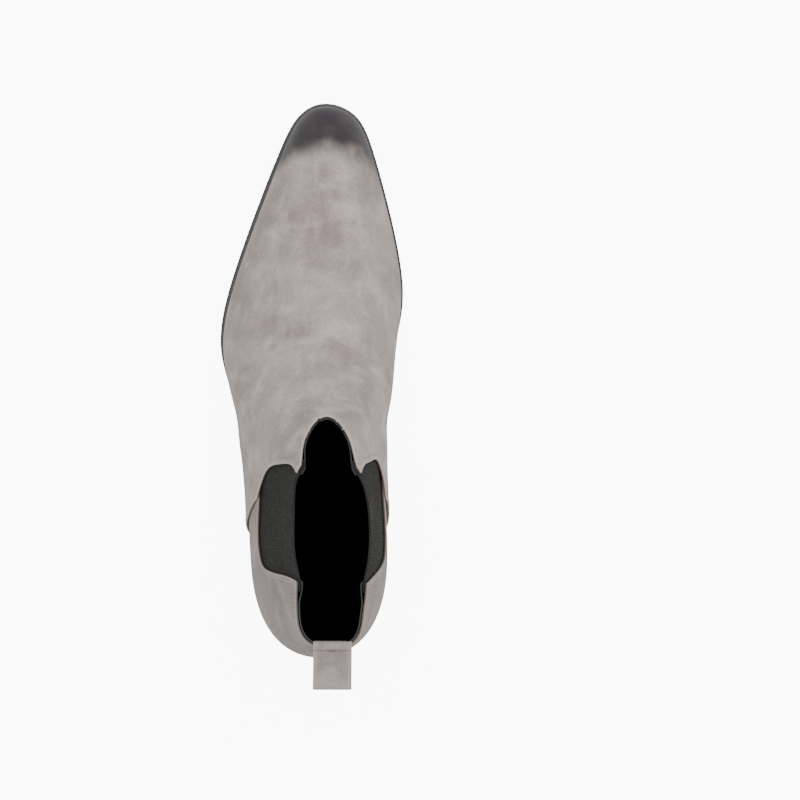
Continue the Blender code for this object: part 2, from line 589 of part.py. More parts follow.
def build():
    clear_scene()
    boot = collection("chelsea_boot")
    cutters = collection("cutters")

    suede = paint("greige_suede", (0.40, 0.35, 0.32), 0.95)
    elastic = paint("charcoal_elastic", (0.035, 0.035, 0.033), 0.9)
    black_leather = paint("black_lining_leather", (0.012, 0.012, 0.012), 0.6)
    board = paint("insole_board", (0.45, 0.33, 0.2), 0.9)
    stiffener = paint("stiffener_board", (0.62, 0.56, 0.45), 0.85)
    cork = paint("cork_filler", (0.42, 0.27, 0.14), 0.95)
    steel = paint("spring_steel", (0.55, 0.55, 0.56), 0.35, 1.0)
    sole_leather = paint("dark_sole_leather", (0.05, 0.042, 0.038), 0.55)
    rubber = paint("black_rubber", (0.02, 0.02, 0.02), 0.8)
    foam = paint("grey_foam", (0.25, 0.25, 0.26), 0.95)

    half = lattice_shares()
    heelward = half[half > NOSE_U + 0.01]
    front = half[half < VAMP_SHARE]
    wrap_front = np.concatenate([-front[:0:-1], front])
    wrap_heel = np.concatenate([heelward, 2 - heelward[-2::-1]])
    turn_at_back = feather(1 - SMALL_SHARE)[0] - feather(1 + SMALL_SHARE)[0]
    one_side = np.append(heelward[:-1], 1 - BACK_SEAM * 2 * SMALL_SHARE / abs(float(turn_at_back)))

    # Depths of the layers under the outer face
    stiff_from = SUEDE + CLEARANCE
    stiff_to = stiff_from + STIFFENER
    lining_from = stiff_to + CLEARANCE
    lining_to = lining_from + LINING
    raise_by = SUEDE + CLEARANCE

    # Cutters, all drawn in side view
    sky = float(real(0.0, 0.0, RING_Z)[2]) + OVER
    far = SOLE_LENGTH
    top_edge = side_line(TOPLINE)
    over_line = [(top_edge[-1, 0], sky), (top_edge[0, 0], sky)]
    above = prism("cut_topline", np.vstack([top_edge, over_line]), cutters)
    scoop = scoop_cutter(cutters)
    outlines = {}
    windows = []
    for word, side in SIDES.items():
        outlines[word] = np.vstack([side_line(GORE_FRONT[word]), side_line(GORE_BACK[word])])
        windows.append(prism(f"cut_gore_window_{word}", outlines[word], cutters, side))
    behind_vamp = []
    for word, side in SIDES.items():
        vamp_line = np.vstack([side_line(GORE_FRONT[word])[:-1], side_line(SIDE_SEAM)])
        rear = [(vamp_line[-1, 0], UNDER), (UNDER, UNDER), (UNDER, sky), (vamp_line[0, 0], sky)]
        behind_vamp.append(prism(f"cut_behind_vamp_{word}", np.vstack([vamp_line, rear]), cutters, side))
    seam = side_line(SIDE_SEAM)
    lap_foot = float(sole_top(seam[-1, 0])) + turn_height() + LAP_SPARE
    lapped = seam[seam[:, 1] > lap_foot] + (SEAM_LAP, 0)
    butt_y = seam[-1, 0] - 2 * CLEARANCE
    window_middle = (outlines["lateral"][:, 0].min() + outlines["lateral"][:, 0].max()) / 2
    ahead_of_quarter = [(lapped[-1, 0], lap_foot), (butt_y, lap_foot), (butt_y, UNDER), (far, UNDER)]
    ahead_of_quarter += [(far, sky), (window_middle, sky)]
    before_quarter = prism("cut_before_quarter", np.vstack([lapped, ahead_of_quarter]), cutters)

    # The upper's suede
    def seam_lift(y, z):
        """The vamp stands out over the quarter's edge and comes back to the surface ahead of it."""
        behind = (LAP_FRONT_Y * STRETCH_Y - y) / (LAP_RISE * STRETCH_Y)
        below = (sole_top(0) + LAP_TOP * STRETCH_Z - z) / (LAP_FADE * STRETCH_Z)
        return raise_by * smooth_step(behind) * smooth_step(below)

    vamp = shell("vamp", wrap_front, 0, SUEDE, boot, suede, seam_lift)
    for cutter in (*behind_vamp, scoop, above):
        cut(vamp, cutter)
    halves = {"lateral": one_side, "medial": -one_side[::-1]}
    for word, window in zip(SIDES, windows):
        quarter = shell(f"quarter_{word}", halves[word], 0, SUEDE, boot, suede)
        for cutter in (before_quarter, window, above):
            cut(quarter, cutter)

    # Between suede and lining
    gore_shares = heelward[heelward < TAIL_SHARE]
    gore_halves = {"lateral": gore_shares, "medial": -gore_shares[::-1]}
    for word in SIDES:
        gore = shell(f"gore_{word}", gore_halves[word], stiff_from, stiff_to, boot, elastic)
        cut(gore, prism(f"keep_gore_{word}", grown(outlines[word], GORE_MARGIN), cutters), "INTERSECT")
        cut(gore, above)
        cut(gore, scoop)
    puff_back = TOE_PUFF_Y * STRETCH_Y
    toe_shares = half[half < share_of(TOE_PUFF_Y - TOE_PUFF_SPARE)]
    toe_puff = shell("toe_puff", np.concatenate([-toe_shares[:0:-1], toe_shares]), stiff_from, stiff_to,
                     boot, stiffener)
    behind_puff = [(puff_back, UNDER), (puff_back + TOE_PUFF_LEAN, sky), (0, sky), (0, UNDER)]
    cut(toe_puff, prism("cut_behind_toe_puff", behind_puff, cutters))
    counter = shell("heel_counter", wrap_heel, stiff_from, stiff_to, boot, stiffener)
    _, counter_y, counter_z = real(0.0, *np.array(COUNTER_EDGE, float).T)
    over_counter = [*zip(counter_y, counter_z), (far, counter_z[-1]), (far, sky), (UNDER, sky)]
    cut(counter, prism("cut_over_counter", over_counter, cutters))

    # Lining
    seam_y = LINING_SEAM_Y * STRETCH_Y
    behind_seam = [(seam_y, UNDER), (seam_y, sky), (UNDER, sky), (UNDER, UNDER)]
    behind = prism("cut_behind_lining_seam", behind_seam, cutters)
    ahead_y = seam_y - CLEARANCE
    ahead_of_seam = [(ahead_y, UNDER), (ahead_y, sky), (far, sky), (far, UNDER)]
    ahead = prism("cut_before_lining_seam", ahead_of_seam, cutters)
    for name, shares, rest in (("vamp_lining", wrap_front, behind), ("quarter_lining", wrap_heel, ahead)):
        lining = shell(name, shares, lining_from, lining_to, boot, black_leather)
        for cutter in (rest, *windows, scoop, above):
            cut(lining, cutter)

    # Sole
    nail_turns = np.radians(np.linspace(-NAIL_SPREAD, NAIL_SPREAD, NAILS))
    nail_y = NAIL_CENTRE_Y - NAIL_RING * np.cos(nail_turns)
    nail_places = np.column_stack([NAIL_RING * np.sin(nail_turns), nail_y])
    outsole = plate("outsole", half, lambda shares: 0 * shares, sole_bottom, sole_top, boot, sole_leather)
    floor_of_insole = lining_to + 2 * CLEARANCE

    def margin(shares):
        return around(OUTLINE, 3, 4, shares)

    def inside_lining(shares):
        return margin(shares) + lining_to + CLEARANCE + BOARD_EASE

    def insole_bottom(y):
        return sole_top(y) + floor_of_insole

    def insole_top(y):
        return insole_bottom(y) + INSOLE_BOARD

    plate("insole_board", half, inside_lining, insole_bottom, insole_top, boot, board)

    def sock_bottom(y):
        behind = (HEEL_PAD_FRONT + PAD_RAMP_START + PAD_RAMP - y) / PAD_RAMP
        return insole_top(y) + CLEARANCE + (HEEL_PAD + CLEARANCE) * smooth_step(behind)

    plate("sock_lining", half, lambda shares: inside_lining(shares) + SOCK_EASE, sock_bottom,
          lambda y: sock_bottom(y) + SOCK_LINING, boot, black_leather)
    pad_shares = half[share_of(HEEL_PAD_FRONT) < half]
    plate("heel_pad", pad_shares, lambda shares: inside_lining(shares) + HEEL_PAD_EASE,
          lambda y: insole_top(y) + CLEARANCE, lambda y: insole_top(y) + CLEARANCE + HEEL_PAD, boot, foam)
    within_turn = LASTING_MARGIN + CLEARANCE
    filler_share = share_of((SHANK_START + SHANK_LENGTH + FILLER_GAP) / STRETCH_Y)
    filler_shares = np.append(half[half < filler_share], filler_share)
    plate("forepart_filler", filler_shares, lambda shares: margin(shares) + within_turn + FILLER_EASE,
          lambda y: sole_top(y) + CLEARANCE, lambda y: insole_bottom(y) - CLEARANCE, boot, cork)

    shank_y = np.linspace(SHANK_START, SHANK_START + SHANK_LENGTH, 15)
    shank_z = insole_bottom(shank_y) - CLEARANCE - SHANK_THICKNESS / 2 - SHANK_EASE
    middle = (edge(share_of(SHANK_START))[0] + edge(-share_of(SHANK_START))[0]) / 2
    bar("shank", np.column_stack([shank_y, shank_z]), SHANK_WIDTH, SHANK_THICKNESS, middle, boot, steel,
        (middle, SHANK_START, float(shank_z[0])))

    # Heel: a rubber top piece, then leather lifts up to the outsole's underside
    heel_shares = np.concatenate([[share_of(HEEL_BREAST)], half[half > share_of(HEEL_BREAST)]])
    seat = sole_bottom(HEEL_BREAST)
    lift_step = (seat - TOP_PIECE) / LIFTS
    inset_step = HEEL_TAPER / (LIFTS + 1)
    levels = [0.0, TOP_PIECE] + [TOP_PIECE + lift_step * (i + 1) for i in range(LIFTS)]
    stack = []
    for i in range(LIFTS + 1):
        low = levels[i] + (CLEARANCE if i else 0)
        high = levels[i + 1]
        under_sole = i == LIFTS
        name = "heel_top_piece" if i == 0 else f"heel_lift_{i}"
        inset = HEEL_INSET + inset_step * (LIFTS - i)

        def lift_bottom(y, low=low):
            return low + 0 * y

        def lift_top(y, high=high, under_sole=under_sole):
            return sole_bottom(y) - CLEARANCE if under_sole else high + 0 * y

        stuff = sole_leather if i else rubber
        stack.append(plate(name, heel_shares, lambda shares, inset=inset: inset + 0 * shares,
                           lift_bottom, lift_top, boot, stuff, taper=inset_step))
    bite = levels[2] - NAIL_BITE
    for i, (x, y) in enumerate(nail_places):
        rest = float(sole_top(y)) + CLEARANCE
        profile = [(0, rest + NAIL_HEAD_DEPTH), (NAIL_HEAD, rest + NAIL_HEAD_DEPTH), (NAIL_HEAD, rest),
                   (NAIL_SHANK, rest), (NAIL_SHANK, bite + NAIL_POINT), (0, bite)]
        turned(f"heel_nail_{i + 1}", profile, (x, y), boot, steel)
        bore = NAIL_SHANK + CLEARANCE
        over_sole = rest + NAIL_HEAD_DEPTH
        floor = bite - CLEARANCE
        bore_profile = [(0, over_sole), (bore, over_sole), (bore, floor), (0, floor)]
        hole = wire(turned(f"cut_nail_hole_{i + 1}", bore_profile, (x, y), cutters))
        for pierced in [outsole] + stack[1:]:
            cut(pierced, hole)

    # Pull tab: a strap folded double, its tails sewn in between suede and lining
    back_x, _, back_z = (float(value) for value in real(RING[RING_BACK][1], *TOPLINE[-2]))
    heights = np.linspace(0, 1, 200)
    back_line = surface(1.0, heights)
    back_y = float(np.interp(back_z, back_line[2], back_line[1]))
    tab_thick = 2 * TAB_LAYER + TAB_SLIT
    hinge_y = back_y - tab_thick / 2 - TAB_EASE
    hinge_z = back_z + CLEARANCE + tab_thick / 2
    hinge = np.array([hinge_y, hinge_z])
    strap_top = back_z + CLEARANCE + TAB_LAYER
    near_back = heelward[heelward > TAIL_SHARE]
    tail_shares = np.concatenate([near_back, 2 - near_back[-2::-1]])
    tail = shell("pull_tab_sewn_end", tail_shares, stiff_from, stiff_to, boot, suede)
    tail_foot = back_z - TAB_TAIL
    pocket = [(UNDER, tail_foot), (HEEL_BREAST, tail_foot), (HEEL_BREAST, strap_top), (UNDER, strap_top)]
    strap_sides = back_x - TAB_WIDTH / 2, back_x + TAB_WIDTH / 2
    cut(tail, prism("keep_tail", pocket, cutters, reach=strap_sides), "INTERSECT")
    slot_y = back_y + (stiff_from + stiff_to) / 2 + TAB_SAG
    bend_z = back_z + CLEARANCE + TAB_LAYER / 2
    slot_end = slot_y + TAB_LAYER / 2
    bend = [(slot_end, bend_z), (back_y + CLEARANCE, bend_z), (hinge_y + TAB_BRIDGE_END, hinge_z)]
    bridge_width = TAB_WIDTH - TAB_EASE
    fold_at = (back_x, *hinge)
    bridge = wire(bar("join_tab_bridge", bend, bridge_width, TAB_LAYER, back_x, cutters, suede, fold_at))
    cut(tail, bridge, "UNION")
    rise = math.radians(TAB_ANGLE)
    reach = np.array([-math.cos(rise), math.sin(rise)])
    across = np.array([-reach[1], reach[0]])
    radius = (TAB_LAYER + TAB_SLIT) / 2
    run = TAB_LENGTH - radius - TAB_LAYER / 2
    start = tab_thick / 2
    loop = [hinge + reach * way + across * radius for way in np.linspace(start, run, 4)]
    for turn in np.linspace(0.2, 0.8, 4) * math.pi:
        loop.append(hinge + reach * (run + radius * math.sin(turn)) + across * radius * math.cos(turn))
    loop += [hinge + reach * way - across * radius for way in np.linspace(run, start, 4)]
    bar("pull_tab", loop, TAB_WIDTH, TAB_LAYER, back_x, boot, suede, fold_at)


build()
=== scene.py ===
"""Suede chelsea boot, the left one of a pair: the boot that is seen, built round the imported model.

Points are worked out in millimetres of the last, with y from the back of the heel, and leave in
metres of the frame through `placed`.  The upper is one surface round the last: `u` counts its
columns (0 toe, 1 heel, negative on the medial side) and `b` climbs a column from 0 to 1.
"""

import json
import math

import bmesh
import bpy
import numpy as np
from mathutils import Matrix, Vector
from mathutils.geometry import delaunay_2d_cdt


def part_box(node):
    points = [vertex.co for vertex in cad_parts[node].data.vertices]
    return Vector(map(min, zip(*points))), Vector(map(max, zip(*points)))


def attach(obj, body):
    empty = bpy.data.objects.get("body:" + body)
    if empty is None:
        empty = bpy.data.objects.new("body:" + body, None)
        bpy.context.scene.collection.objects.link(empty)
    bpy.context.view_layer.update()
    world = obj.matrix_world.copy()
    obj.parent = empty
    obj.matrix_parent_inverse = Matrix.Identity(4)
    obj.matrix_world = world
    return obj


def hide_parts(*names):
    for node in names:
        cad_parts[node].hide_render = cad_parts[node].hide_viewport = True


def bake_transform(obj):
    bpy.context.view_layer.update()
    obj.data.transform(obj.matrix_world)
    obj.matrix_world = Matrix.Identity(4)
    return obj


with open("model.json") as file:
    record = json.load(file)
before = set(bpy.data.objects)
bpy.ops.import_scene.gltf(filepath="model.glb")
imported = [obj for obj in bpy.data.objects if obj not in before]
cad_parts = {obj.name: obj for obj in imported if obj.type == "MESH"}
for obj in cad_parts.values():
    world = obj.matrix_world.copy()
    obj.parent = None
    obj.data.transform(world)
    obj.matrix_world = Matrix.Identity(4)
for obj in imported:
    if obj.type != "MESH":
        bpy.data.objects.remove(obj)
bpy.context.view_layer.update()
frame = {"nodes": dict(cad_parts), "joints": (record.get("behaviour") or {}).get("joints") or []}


# ---- Outsole ----------------------------------------------------------------------------------
# A slab of vegetable-tanned leather, dyed dark and waxed.  Its edge is trimmed, rounded and
# burnished, and it curves up under the heel seat and a little at the toe.
MM = 0.001
HEEL_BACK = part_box("outsole")[0].y
SOLE_LENGTH = (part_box("outsole")[1].y - HEEL_BACK) / MM
OUTSOLE = 5.0
HEEL_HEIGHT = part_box("outsole")[1].z / MM - OUTSOLE
TOE_SPRING = 9.0
SOLE_ROUNDING = 1.1
WELD = 1e-6                 # metres; corners nearer than this are one
SHARP_ANGLE = math.radians(48)
# y, share of the heel height, share of the toe spring: the outsole's underside
UNDERSIDE = (
    (0, 1.00, 0.0), (60, 0.92, 0.0), (100, 0.69, 0.0), (140, 0.34, 0.0), (175, 0.10, 0.0),
    (205, 0.00, 0.0), (240, 0.00, 0.12), (275, 0.00, 0.43), (308.5, 0.00, 1.0),
)
# y, lateral x, medial x, how far the upper stands in from it on each side: the outsole's edge
OUTLINE = (
    (308.5, 4.1, 4.1, 2.0, 2.0), (299.6, -12.7, 22.7, 2.1, 1.8), (282.7, -21.7, 30.5, 2.4, 1.6),
    (254.6, -33.0, 38.4, 2.6, 1.5), (220.9, -45.3, 45.7, 2.4, 1.4), (198.4, -52.1, 47.4, 2.3, 1.3),
    (170.3, -55.0, 42.0, 1.5, 1.1), (140, -46.5, 33.5, 0.7, 0.7), (110, -37.5, 30.0, 0.6, 0.6),
    (75, -34.5, 32.0, 0.6, 0.6), (40, -34.0, 33.5, 0.6, 0.6), (15, -25.5, 26.0, 0.6, 0.6),
    (0, 0.5, 0.5, 0.6, 0.6),
)


def placed(points):
    """Points (n, 3) in millimetres of the last, as metres of the frame."""
    return np.asarray(points, float).reshape(-1, 3) * MM + np.array((0.0, HEEL_BACK, 0.0))


def spline(knots, values, at):
    """Natural cubic spline through the knots, read at `at`."""
    knots = np.asarray(knots, float)
    values = np.asarray(values, float)
    count = len(knots)
    gaps = np.diff(knots)
    rises = np.diff(values) / gaps
    system = np.eye(count)
    target = np.zeros(count)
    for i in range(1, count - 1):
        system[i, i - 1:i + 2] = gaps[i - 1], 2 * (gaps[i - 1] + gaps[i]), gaps[i]
        target[i] = 6 * (rises[i] - rises[i - 1])
    bend = np.linalg.solve(system, target)
    at = np.asarray(at, float)
    i = np.clip(np.searchsorted(knots, at) - 1, 0, count - 2)
    step = at - knots[i]
    slope = rises[i] - gaps[i] * (2 * bend[i] + bend[i + 1]) / 6
    return values[i] + step * (slope + step * (bend[i] / 2 + step * (bend[i + 1] - bend[i]) / (6 * gaps[i])))


def smooth_step(share):
    """0 below 0, 1 above 1, and an even S between them."""
    share = np.clip(share, 0, 1)
    return share**2 * (3 - 2 * share)


def sole_bottom(y):
    """Height of the outsole's underside: a share of the heel's height and of the toe spring."""
    stations = np.array(UNDERSIDE)
    return spline(stations[:, 0], HEEL_HEIGHT * stations[:, 1] + TOE_SPRING * stations[:, 2], y)


def sole_top(y):
    """Height of the outsole's upper face."""
    return sole_bottom(y) + OUTSOLE


def share_of(y):
    """Column number whose foot has this y: y = length (1 + cos(pi u)) / 2, turned round."""
    return np.arccos(np.clip(2 * np.asarray(y, float) / SOLE_LENGTH - 1, -1, 1)) / math.pi


def around(table, lateral, medial, u):
    """Read two columns of a station table, lateral for u > 0, as one closed smooth curve."""
    table = np.array(table)
    shares = share_of(table[:, 0])
    knots = np.concatenate([shares, 2 - shares[-2:0:-1]])
    values = np.concatenate([table[:, lateral], table[-2:0:-1, medial]])
    knots = np.concatenate([knots - 2, knots, knots + 2])
    return spline(knots, np.tile(values, 3), u)


def edge_inset(u, inset):
    """The outsole's edge in plan, moved inwards along its normal, and that normal: x, y, nx, ny."""
    def plain(share):
        """The edge itself: x, y."""
        return around(OUTLINE, 1, 2, share), SOLE_LENGTH * (1 + np.cos(math.pi * share)) / 2

    small = 1e-3
    x, y = plain(u)
    along_x, along_y = (ahead - behind for ahead, behind in zip(plain(u + small), plain(u - small)))
    length = np.hypot(along_x, along_y)
    return x - inset * along_y / length, y + inset * along_x / length, along_y / length, -along_x / length


def make_piece(name, points, faces, material, body="boot", attributes=None):
    """A smooth mesh piece from points in millimetres and lists of corners, riding on a body if given.

    `attributes` are numbers for each point, which its material reads by name.
    """
    mesh = bpy.data.meshes.new(name)
    mesh.from_pydata(placed(points).tolist(), [], faces)
    for word, values in (attributes or {}).items():
        layer = mesh.attributes.new(word, "FLOAT", "POINT")
        layer.data.foreach_set("value", np.asarray(values, np.float32))
    joined = bmesh.new()
    joined.from_mesh(mesh)
    bmesh.ops.remove_doubles(joined, verts=joined.verts, dist=WELD)
    bmesh.ops.recalc_face_normals(joined, faces=joined.faces)
    joined.to_mesh(mesh)
    joined.free()
    mesh.shade_smooth()
    mesh.set_sharp_from_angle(angle=SHARP_ANGLE)
    mesh.materials.append(material)
    piece = bpy.data.objects.new(name, mesh)
    bpy.context.scene.collection.objects.link(piece)
    if body:
        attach(piece, body)
    return piece


def grid_faces(rows, columns, closed=False):
    """Quads of a grid of points kept row by row; `closed` joins the last column to the first."""
    row, column = np.meshgrid(np.arange(rows - 1), np.arange(columns - (not closed)), indexing="ij")
    ahead = (column + 1) % columns
    here = row * columns
    above = here + columns
    return np.stack([here + column, here + ahead, above + ahead, above + column], -1).reshape(-1, 4).tolist()


def slab(name, shares, bottom, top, inset, rounding, material, taper=0.0, rungs=14):
    """A slab in the shape of the outsole.

    Every section, from the front to the back, is one closed ring: up the lateral edge with two
    quarter rounds, across the top, down the medial edge and back across the bottom.  `inset`
    tells for each column how far its edge stands in from the outsole's, and `taper` how much
    further in the bottom edge stands.  An end that isn't a point gets a flat cap.
    """
    turn = np.linspace(0, math.pi / 2, 4)
    rim = [(rounding * (1 - math.sin(a)), 0, rounding * (1 - math.cos(a)), taper) for a in turn]
    rim += [(rounding * (1 - math.sin(a)), 1, -rounding * (1 - math.cos(a)), 0.0) for a in turn[::-1]]
    lateral = []
    medial = []
    for stand_in, level, shift, extra in rim:
        for side, points in ((1, lateral), (-1, medial)):
            x, y = edge_inset(side * shares, inset(side * shares) + stand_in + extra)[:2]
            points.append(np.stack([x, y, (top(y) if level else bottom(y)) + shift], -1))
    way = np.linspace(0, 1, rungs + 1)[1:-1]

    def across(first, last, height):
        """Rungs from one edge to the other, laid at the height of their own y."""
        rows = [first + (last - first) * share for share in way]
        return [np.stack([row[:, 0], row[:, 1], height(row[:, 1])], -1) for row in rows]

    ring = lateral + across(lateral[-1], medial[-1], top)
    ring += medial[::-1] + across(medial[0], lateral[0], bottom)
    points = np.stack(ring, 1).reshape(-1, 3)
    faces = grid_faces(len(shares), len(ring), closed=True)
    if shares[0] > 0:
        faces.append(list(range(len(ring))))
    return make_piece(name, points, faces, material)


def add_node(tree, kind, inputs=None, **settings):
    """A shader node; each of its inputs gets a number, a colour, or the socket that feeds it."""
    made = tree.nodes.new(kind)
    for word, value in settings.items():
        setattr(made, word, value)
    for word, value in (inputs or {}).items():
        if isinstance(value, bpy.types.NodeSocket):
            tree.links.new(value, made.inputs[word])
        else:
            made.inputs[word].default_value = value
    return made


def math_node(tree, operation, *values):
    """The result of one Math node."""
    return add_node(tree, "ShaderNodeMath", dict(enumerate(values)), operation=operation).outputs[0]


def relief(tree, shader, height, depth):
    """Bump the shader's normal by a height; `depth` is in metres."""
    bump = add_node(tree, "ShaderNodeBump", {"Height": height, "Distance": depth})
    tree.links.new(bump.outputs["Normal"], shader.inputs["Normal"])


def mix_colour(tree, share, first, second, blend="MIX"):
    """The colour that a Mix node gives."""
    return add_node(tree, "ShaderNodeMix", {0: share, 6: first, 7: second}, data_type="RGBA",
                    blend_type=blend).outputs[2]


def ramp(tree, value, low, high, low_to=0.0, high_to=1.0):
    """A value carried from one range to another along an S, and held at its ends."""
    return add_node(tree, "ShaderNodeMapRange",
                    {"Value": value, "From Min": low, "From Max": high, "To Min": low_to, "To Max": high_to},
                    interpolation_type="SMOOTHSTEP").outputs["Result"]


def noise(tree, position, size, detail=2.0, roughness=0.5, distortion=0.0):
    """Noise whose lumps are about `size` millimetres across."""
    return add_node(tree, "ShaderNodeTexNoise",
                    {"Vector": position, "Scale": 1 / (size * MM), "Detail": detail, "Roughness": roughness,
                     "Distortion": distortion}).outputs["Fac"]


def new_group(name, inputs, outputs):
    """An empty shader node group with named sockets: each is a name and a kind."""
    group = bpy.data.node_groups.new(name, "ShaderNodeTree")
    kinds = {"number": "NodeSocketFloat", "colour": "NodeSocketColor", "vector": "NodeSocketVector"}
    for direction, sockets in (("INPUT", inputs), ("OUTPUT", outputs)):
        for word, kind in sockets:
            group.interface.new_socket(word, in_out=direction, socket_type=kinds[kind])
    return group, group.nodes.new("NodeGroupInput").outputs, group.nodes.new("NodeGroupOutput").inputs


def new_material(name, roughness=0.6, **sockets):
    """A Principled material; values that are the same all over are set on the shader's sockets."""
    material = bpy.data.materials.new(name)
    material.use_nodes = True
    tree = material.node_tree
    shader = tree.nodes["Principled BSDF"]
    shader.inputs["Roughness"].default_value = roughness
    for word, value in sockets.items():
        shader.inputs[word.replace("_", " ")].default_value = value
    position = add_node(tree, "ShaderNodeTexCoord").outputs["Object"]
    return material, tree, shader, position


def leather_grain():
    """Group: the pores and fine creases of finished leather, with a mottled dye and worn spots."""
    group, given, put = new_group(
        "leather_grain",
        [("Position", "vector"), ("Colour", "colour"), ("Worn Colour", "colour"), ("Wear", "number")],
        [("Colour", "colour"), ("Roughness", "number"), ("Height", "number")])
    position = given["Position"]
    dye = noise(group, position, 16, 3)
    pores = add_node(group, "ShaderNodeTexVoronoi", {"Vector": position, "Scale": 1 / (0.9 * MM)},
                     feature="DISTANCE_TO_EDGE").outputs["Distance"]
    fine = noise(group, position, 0.5, 2)
    worn = math_node(group, "MULTIPLY", ramp(group, dye, 0.5, 0.75), given["Wear"])
    group.links.new(mix_colour(group, worn, given["Colour"], given["Worn Colour"]), put["Colour"])
    group.links.new(ramp(group, dye, 0.3, 0.7, 0.38, 0.55), put["Roughness"])
    creases = ramp(group, pores, 0.0, 0.12)
    group.links.new(math_node(group, "ADD", creases, math_node(group, "MULTIPLY", fine, 0.4)), put["Height"])
    return group


def grained_leather(name, colour, worn_colour, wear, depth, **sockets):
    """A finished leather: the grain group, its colours and how deep its relief is, in metres."""
    material, tree, shader, position = new_material(name, **sockets)
    grain = add_node(tree, "ShaderNodeGroup", node_tree=GRAIN)
    tree.links.new(position, grain.inputs["Position"])
    grain.inputs["Colour"].default_value = (*colour, 1)
    grain.inputs["Worn Colour"].default_value = (*worn_colour, 1)
    grain.inputs["Wear"].default_value = wear
    tree.links.new(grain.outputs["Colour"], shader.inputs["Base Color"])
    tree.links.new(grain.outputs["Roughness"], shader.inputs["Roughness"])
    relief(tree, shader, grain.outputs["Height"], depth)
    return material


GRAIN = leather_grain()
sole_leather = grained_leather("dark_sole_leather", (0.022, 0.018, 0.016), (0.06, 0.045, 0.035), 0.5, 0.00006,
                               Coat_Weight=0.15, Coat_Roughness=0.35)
whole = np.linspace(0, 1, 161)
outsole = slab("outsole_leather", whole, sole_bottom, sole_top, lambda shares: 0 * shares, SOLE_ROUNDING,
               sole_leather)
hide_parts("outsole")


# ---- Heel -------------------------------------------------------------------------------------
# Three lifts of sole leather under the seat and a rubber top piece, cemented and nailed from
# inside.  The stack is trimmed with a slight taper, so that its joints show as fine lines.
HEEL_BREAST = 62.0
TOP_PIECE = 6.0
LIFTS = 3
JOINT = 0.3
LIFT_ROUNDING = 0.35
HEEL_INSET = 0.4
HEEL_TAPER = 2.4
BREAST_SHARE = float(share_of(HEEL_BREAST))

rubber, tree, shader, position = new_material("black_rubber", 0.7)
dusty = ramp(tree, noise(tree, position, 14), 0.4, 0.7)
tree.links.new(mix_colour(tree, dusty, (0.012, 0.012, 0.012, 1), (0.03, 0.029, 0.028, 1)),
               shader.inputs["Base Color"])
relief(tree, shader, noise(tree, position, 0.6, 3), 0.00008)

heel_shares = np.linspace(BREAST_SHARE, 1, 81)
seat = float(sole_bottom(HEEL_BREAST))
lift_step = (seat - TOP_PIECE) / LIFTS
inset_step = HEEL_TAPER / (LIFTS + 1)
levels = [0.0, TOP_PIECE] + [TOP_PIECE + lift_step * (i + 1) for i in range(LIFTS)]
for i in range(LIFTS + 1):
    low = levels[i] + (JOINT if i else 0)
    high = levels[i + 1]

    def heel_bottom(y, low=low):
        """Underside of this lift."""
        return low + 0 * y

    def heel_top(y, high=high, under_sole=i == LIFTS):
        """Upper face of this lift; the last one follows the outsole."""
        return sole_bottom(y) - JOINT if under_sole else high + 0 * y

    node = f"heel_lift_{i}" if i else "heel_top_piece"
    name = f"stacked_lift_{i}" if i else "rubber_top_piece"
    piece = slab(name, heel_shares, heel_bottom, heel_top,
                 lambda shares, i=i: HEEL_INSET + inset_step * (LIFTS - i) + 0 * shares, LIFT_ROUNDING,
                 sole_leather if i else rubber, taper=inset_step)
    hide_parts(node)


# ---- Vamp -------------------------------------------------------------------------------------
# One piece of napped suede over the toe, the instep and the front of the ankle, with a scoop
# where the foot goes in.  It is pulled over the last, and its rear edges lap the quarters.
SUEDE = 1.4
GAP = 0.3
STIFFENER = 1.2
LINING = 0.9
SUEDE_ROUNDING = 0.55
SEAM_LAP = 11.0
LIFT_FRONT = 136.0          # y where the vamp starts to stand out over the lap
LIFT_FADE = 22.0
LIFT_TOP = 68.0             # above the sole at the heel
LIFT_TOP_FADE = 16.0
LIFT_FOOT = 9.0             # above the sole
# y at the feather, then the column's lower handle (lateral and medial flare, z), its upper
# handle (lateral x, medial x, y, z) and, for columns that end on the ridge, the y they end at
COLUMNS = (
    (308.5, 1.5, 1.5, 27, 4.1, 4.1, 297.5, 35, 283), (299.6, 1.5, 1.5, 27, -5.5, 13.5, 292, 37, 282.5),
    (282.7, 1.5, 1.5, 26, -10, 18.5, 280, 40.5, 277), (254.6, 1.5, 1.5, 27, -15, 20.5, 251, 46.7, 250),
    (220.9, 1.5, 2, 29, -22, 25.5, 217, 54.5, 216), (198.4, 1.5, 3, 31, -24, 27, 192, 65, 188),
    (170.3, 1.5, 10, 38, -22, 30, 156, 91, 148), (150, 6, 17, 44, -19, 32, 134, 117, 122),
    (133, 10, 17, 50, -19, 32, 127, 119, 118), (110, 14, 16, 56, -20.5, 33.5, 113, 116, 118),
    (75, 14.5, 14, 62, -18.5, 35, 76, 115, 118), (40, 10, 11, 64, -15, 33.5, 42, 114, 118),
    (15, 7, 6.5, 63, -11.5, 28, 20, 113, 118), (0, 5.5, 5.5, 62, 8, 8, 15.5, 112, 118),
)
RIDGE_COLUMNS = 9
# y, x, z of the ridge, from the shaft down to the toe
RIDGE = (
    (112, 9, 170), (118, 8.6, 158), (124, 8.3, 142), (131, 8, 127), (139, 7, 113.5), (148, 6, 101),
    (158, 5, 90), (170, 3.6, 80), (185, 2.6, 70), (205, 1.8, 60.5), (230, 1.6, 52), (255, 2.2, 46),
    (272, 3.4, 42), (284, 4.1, 38.5), (300, 4.1, 31),
)
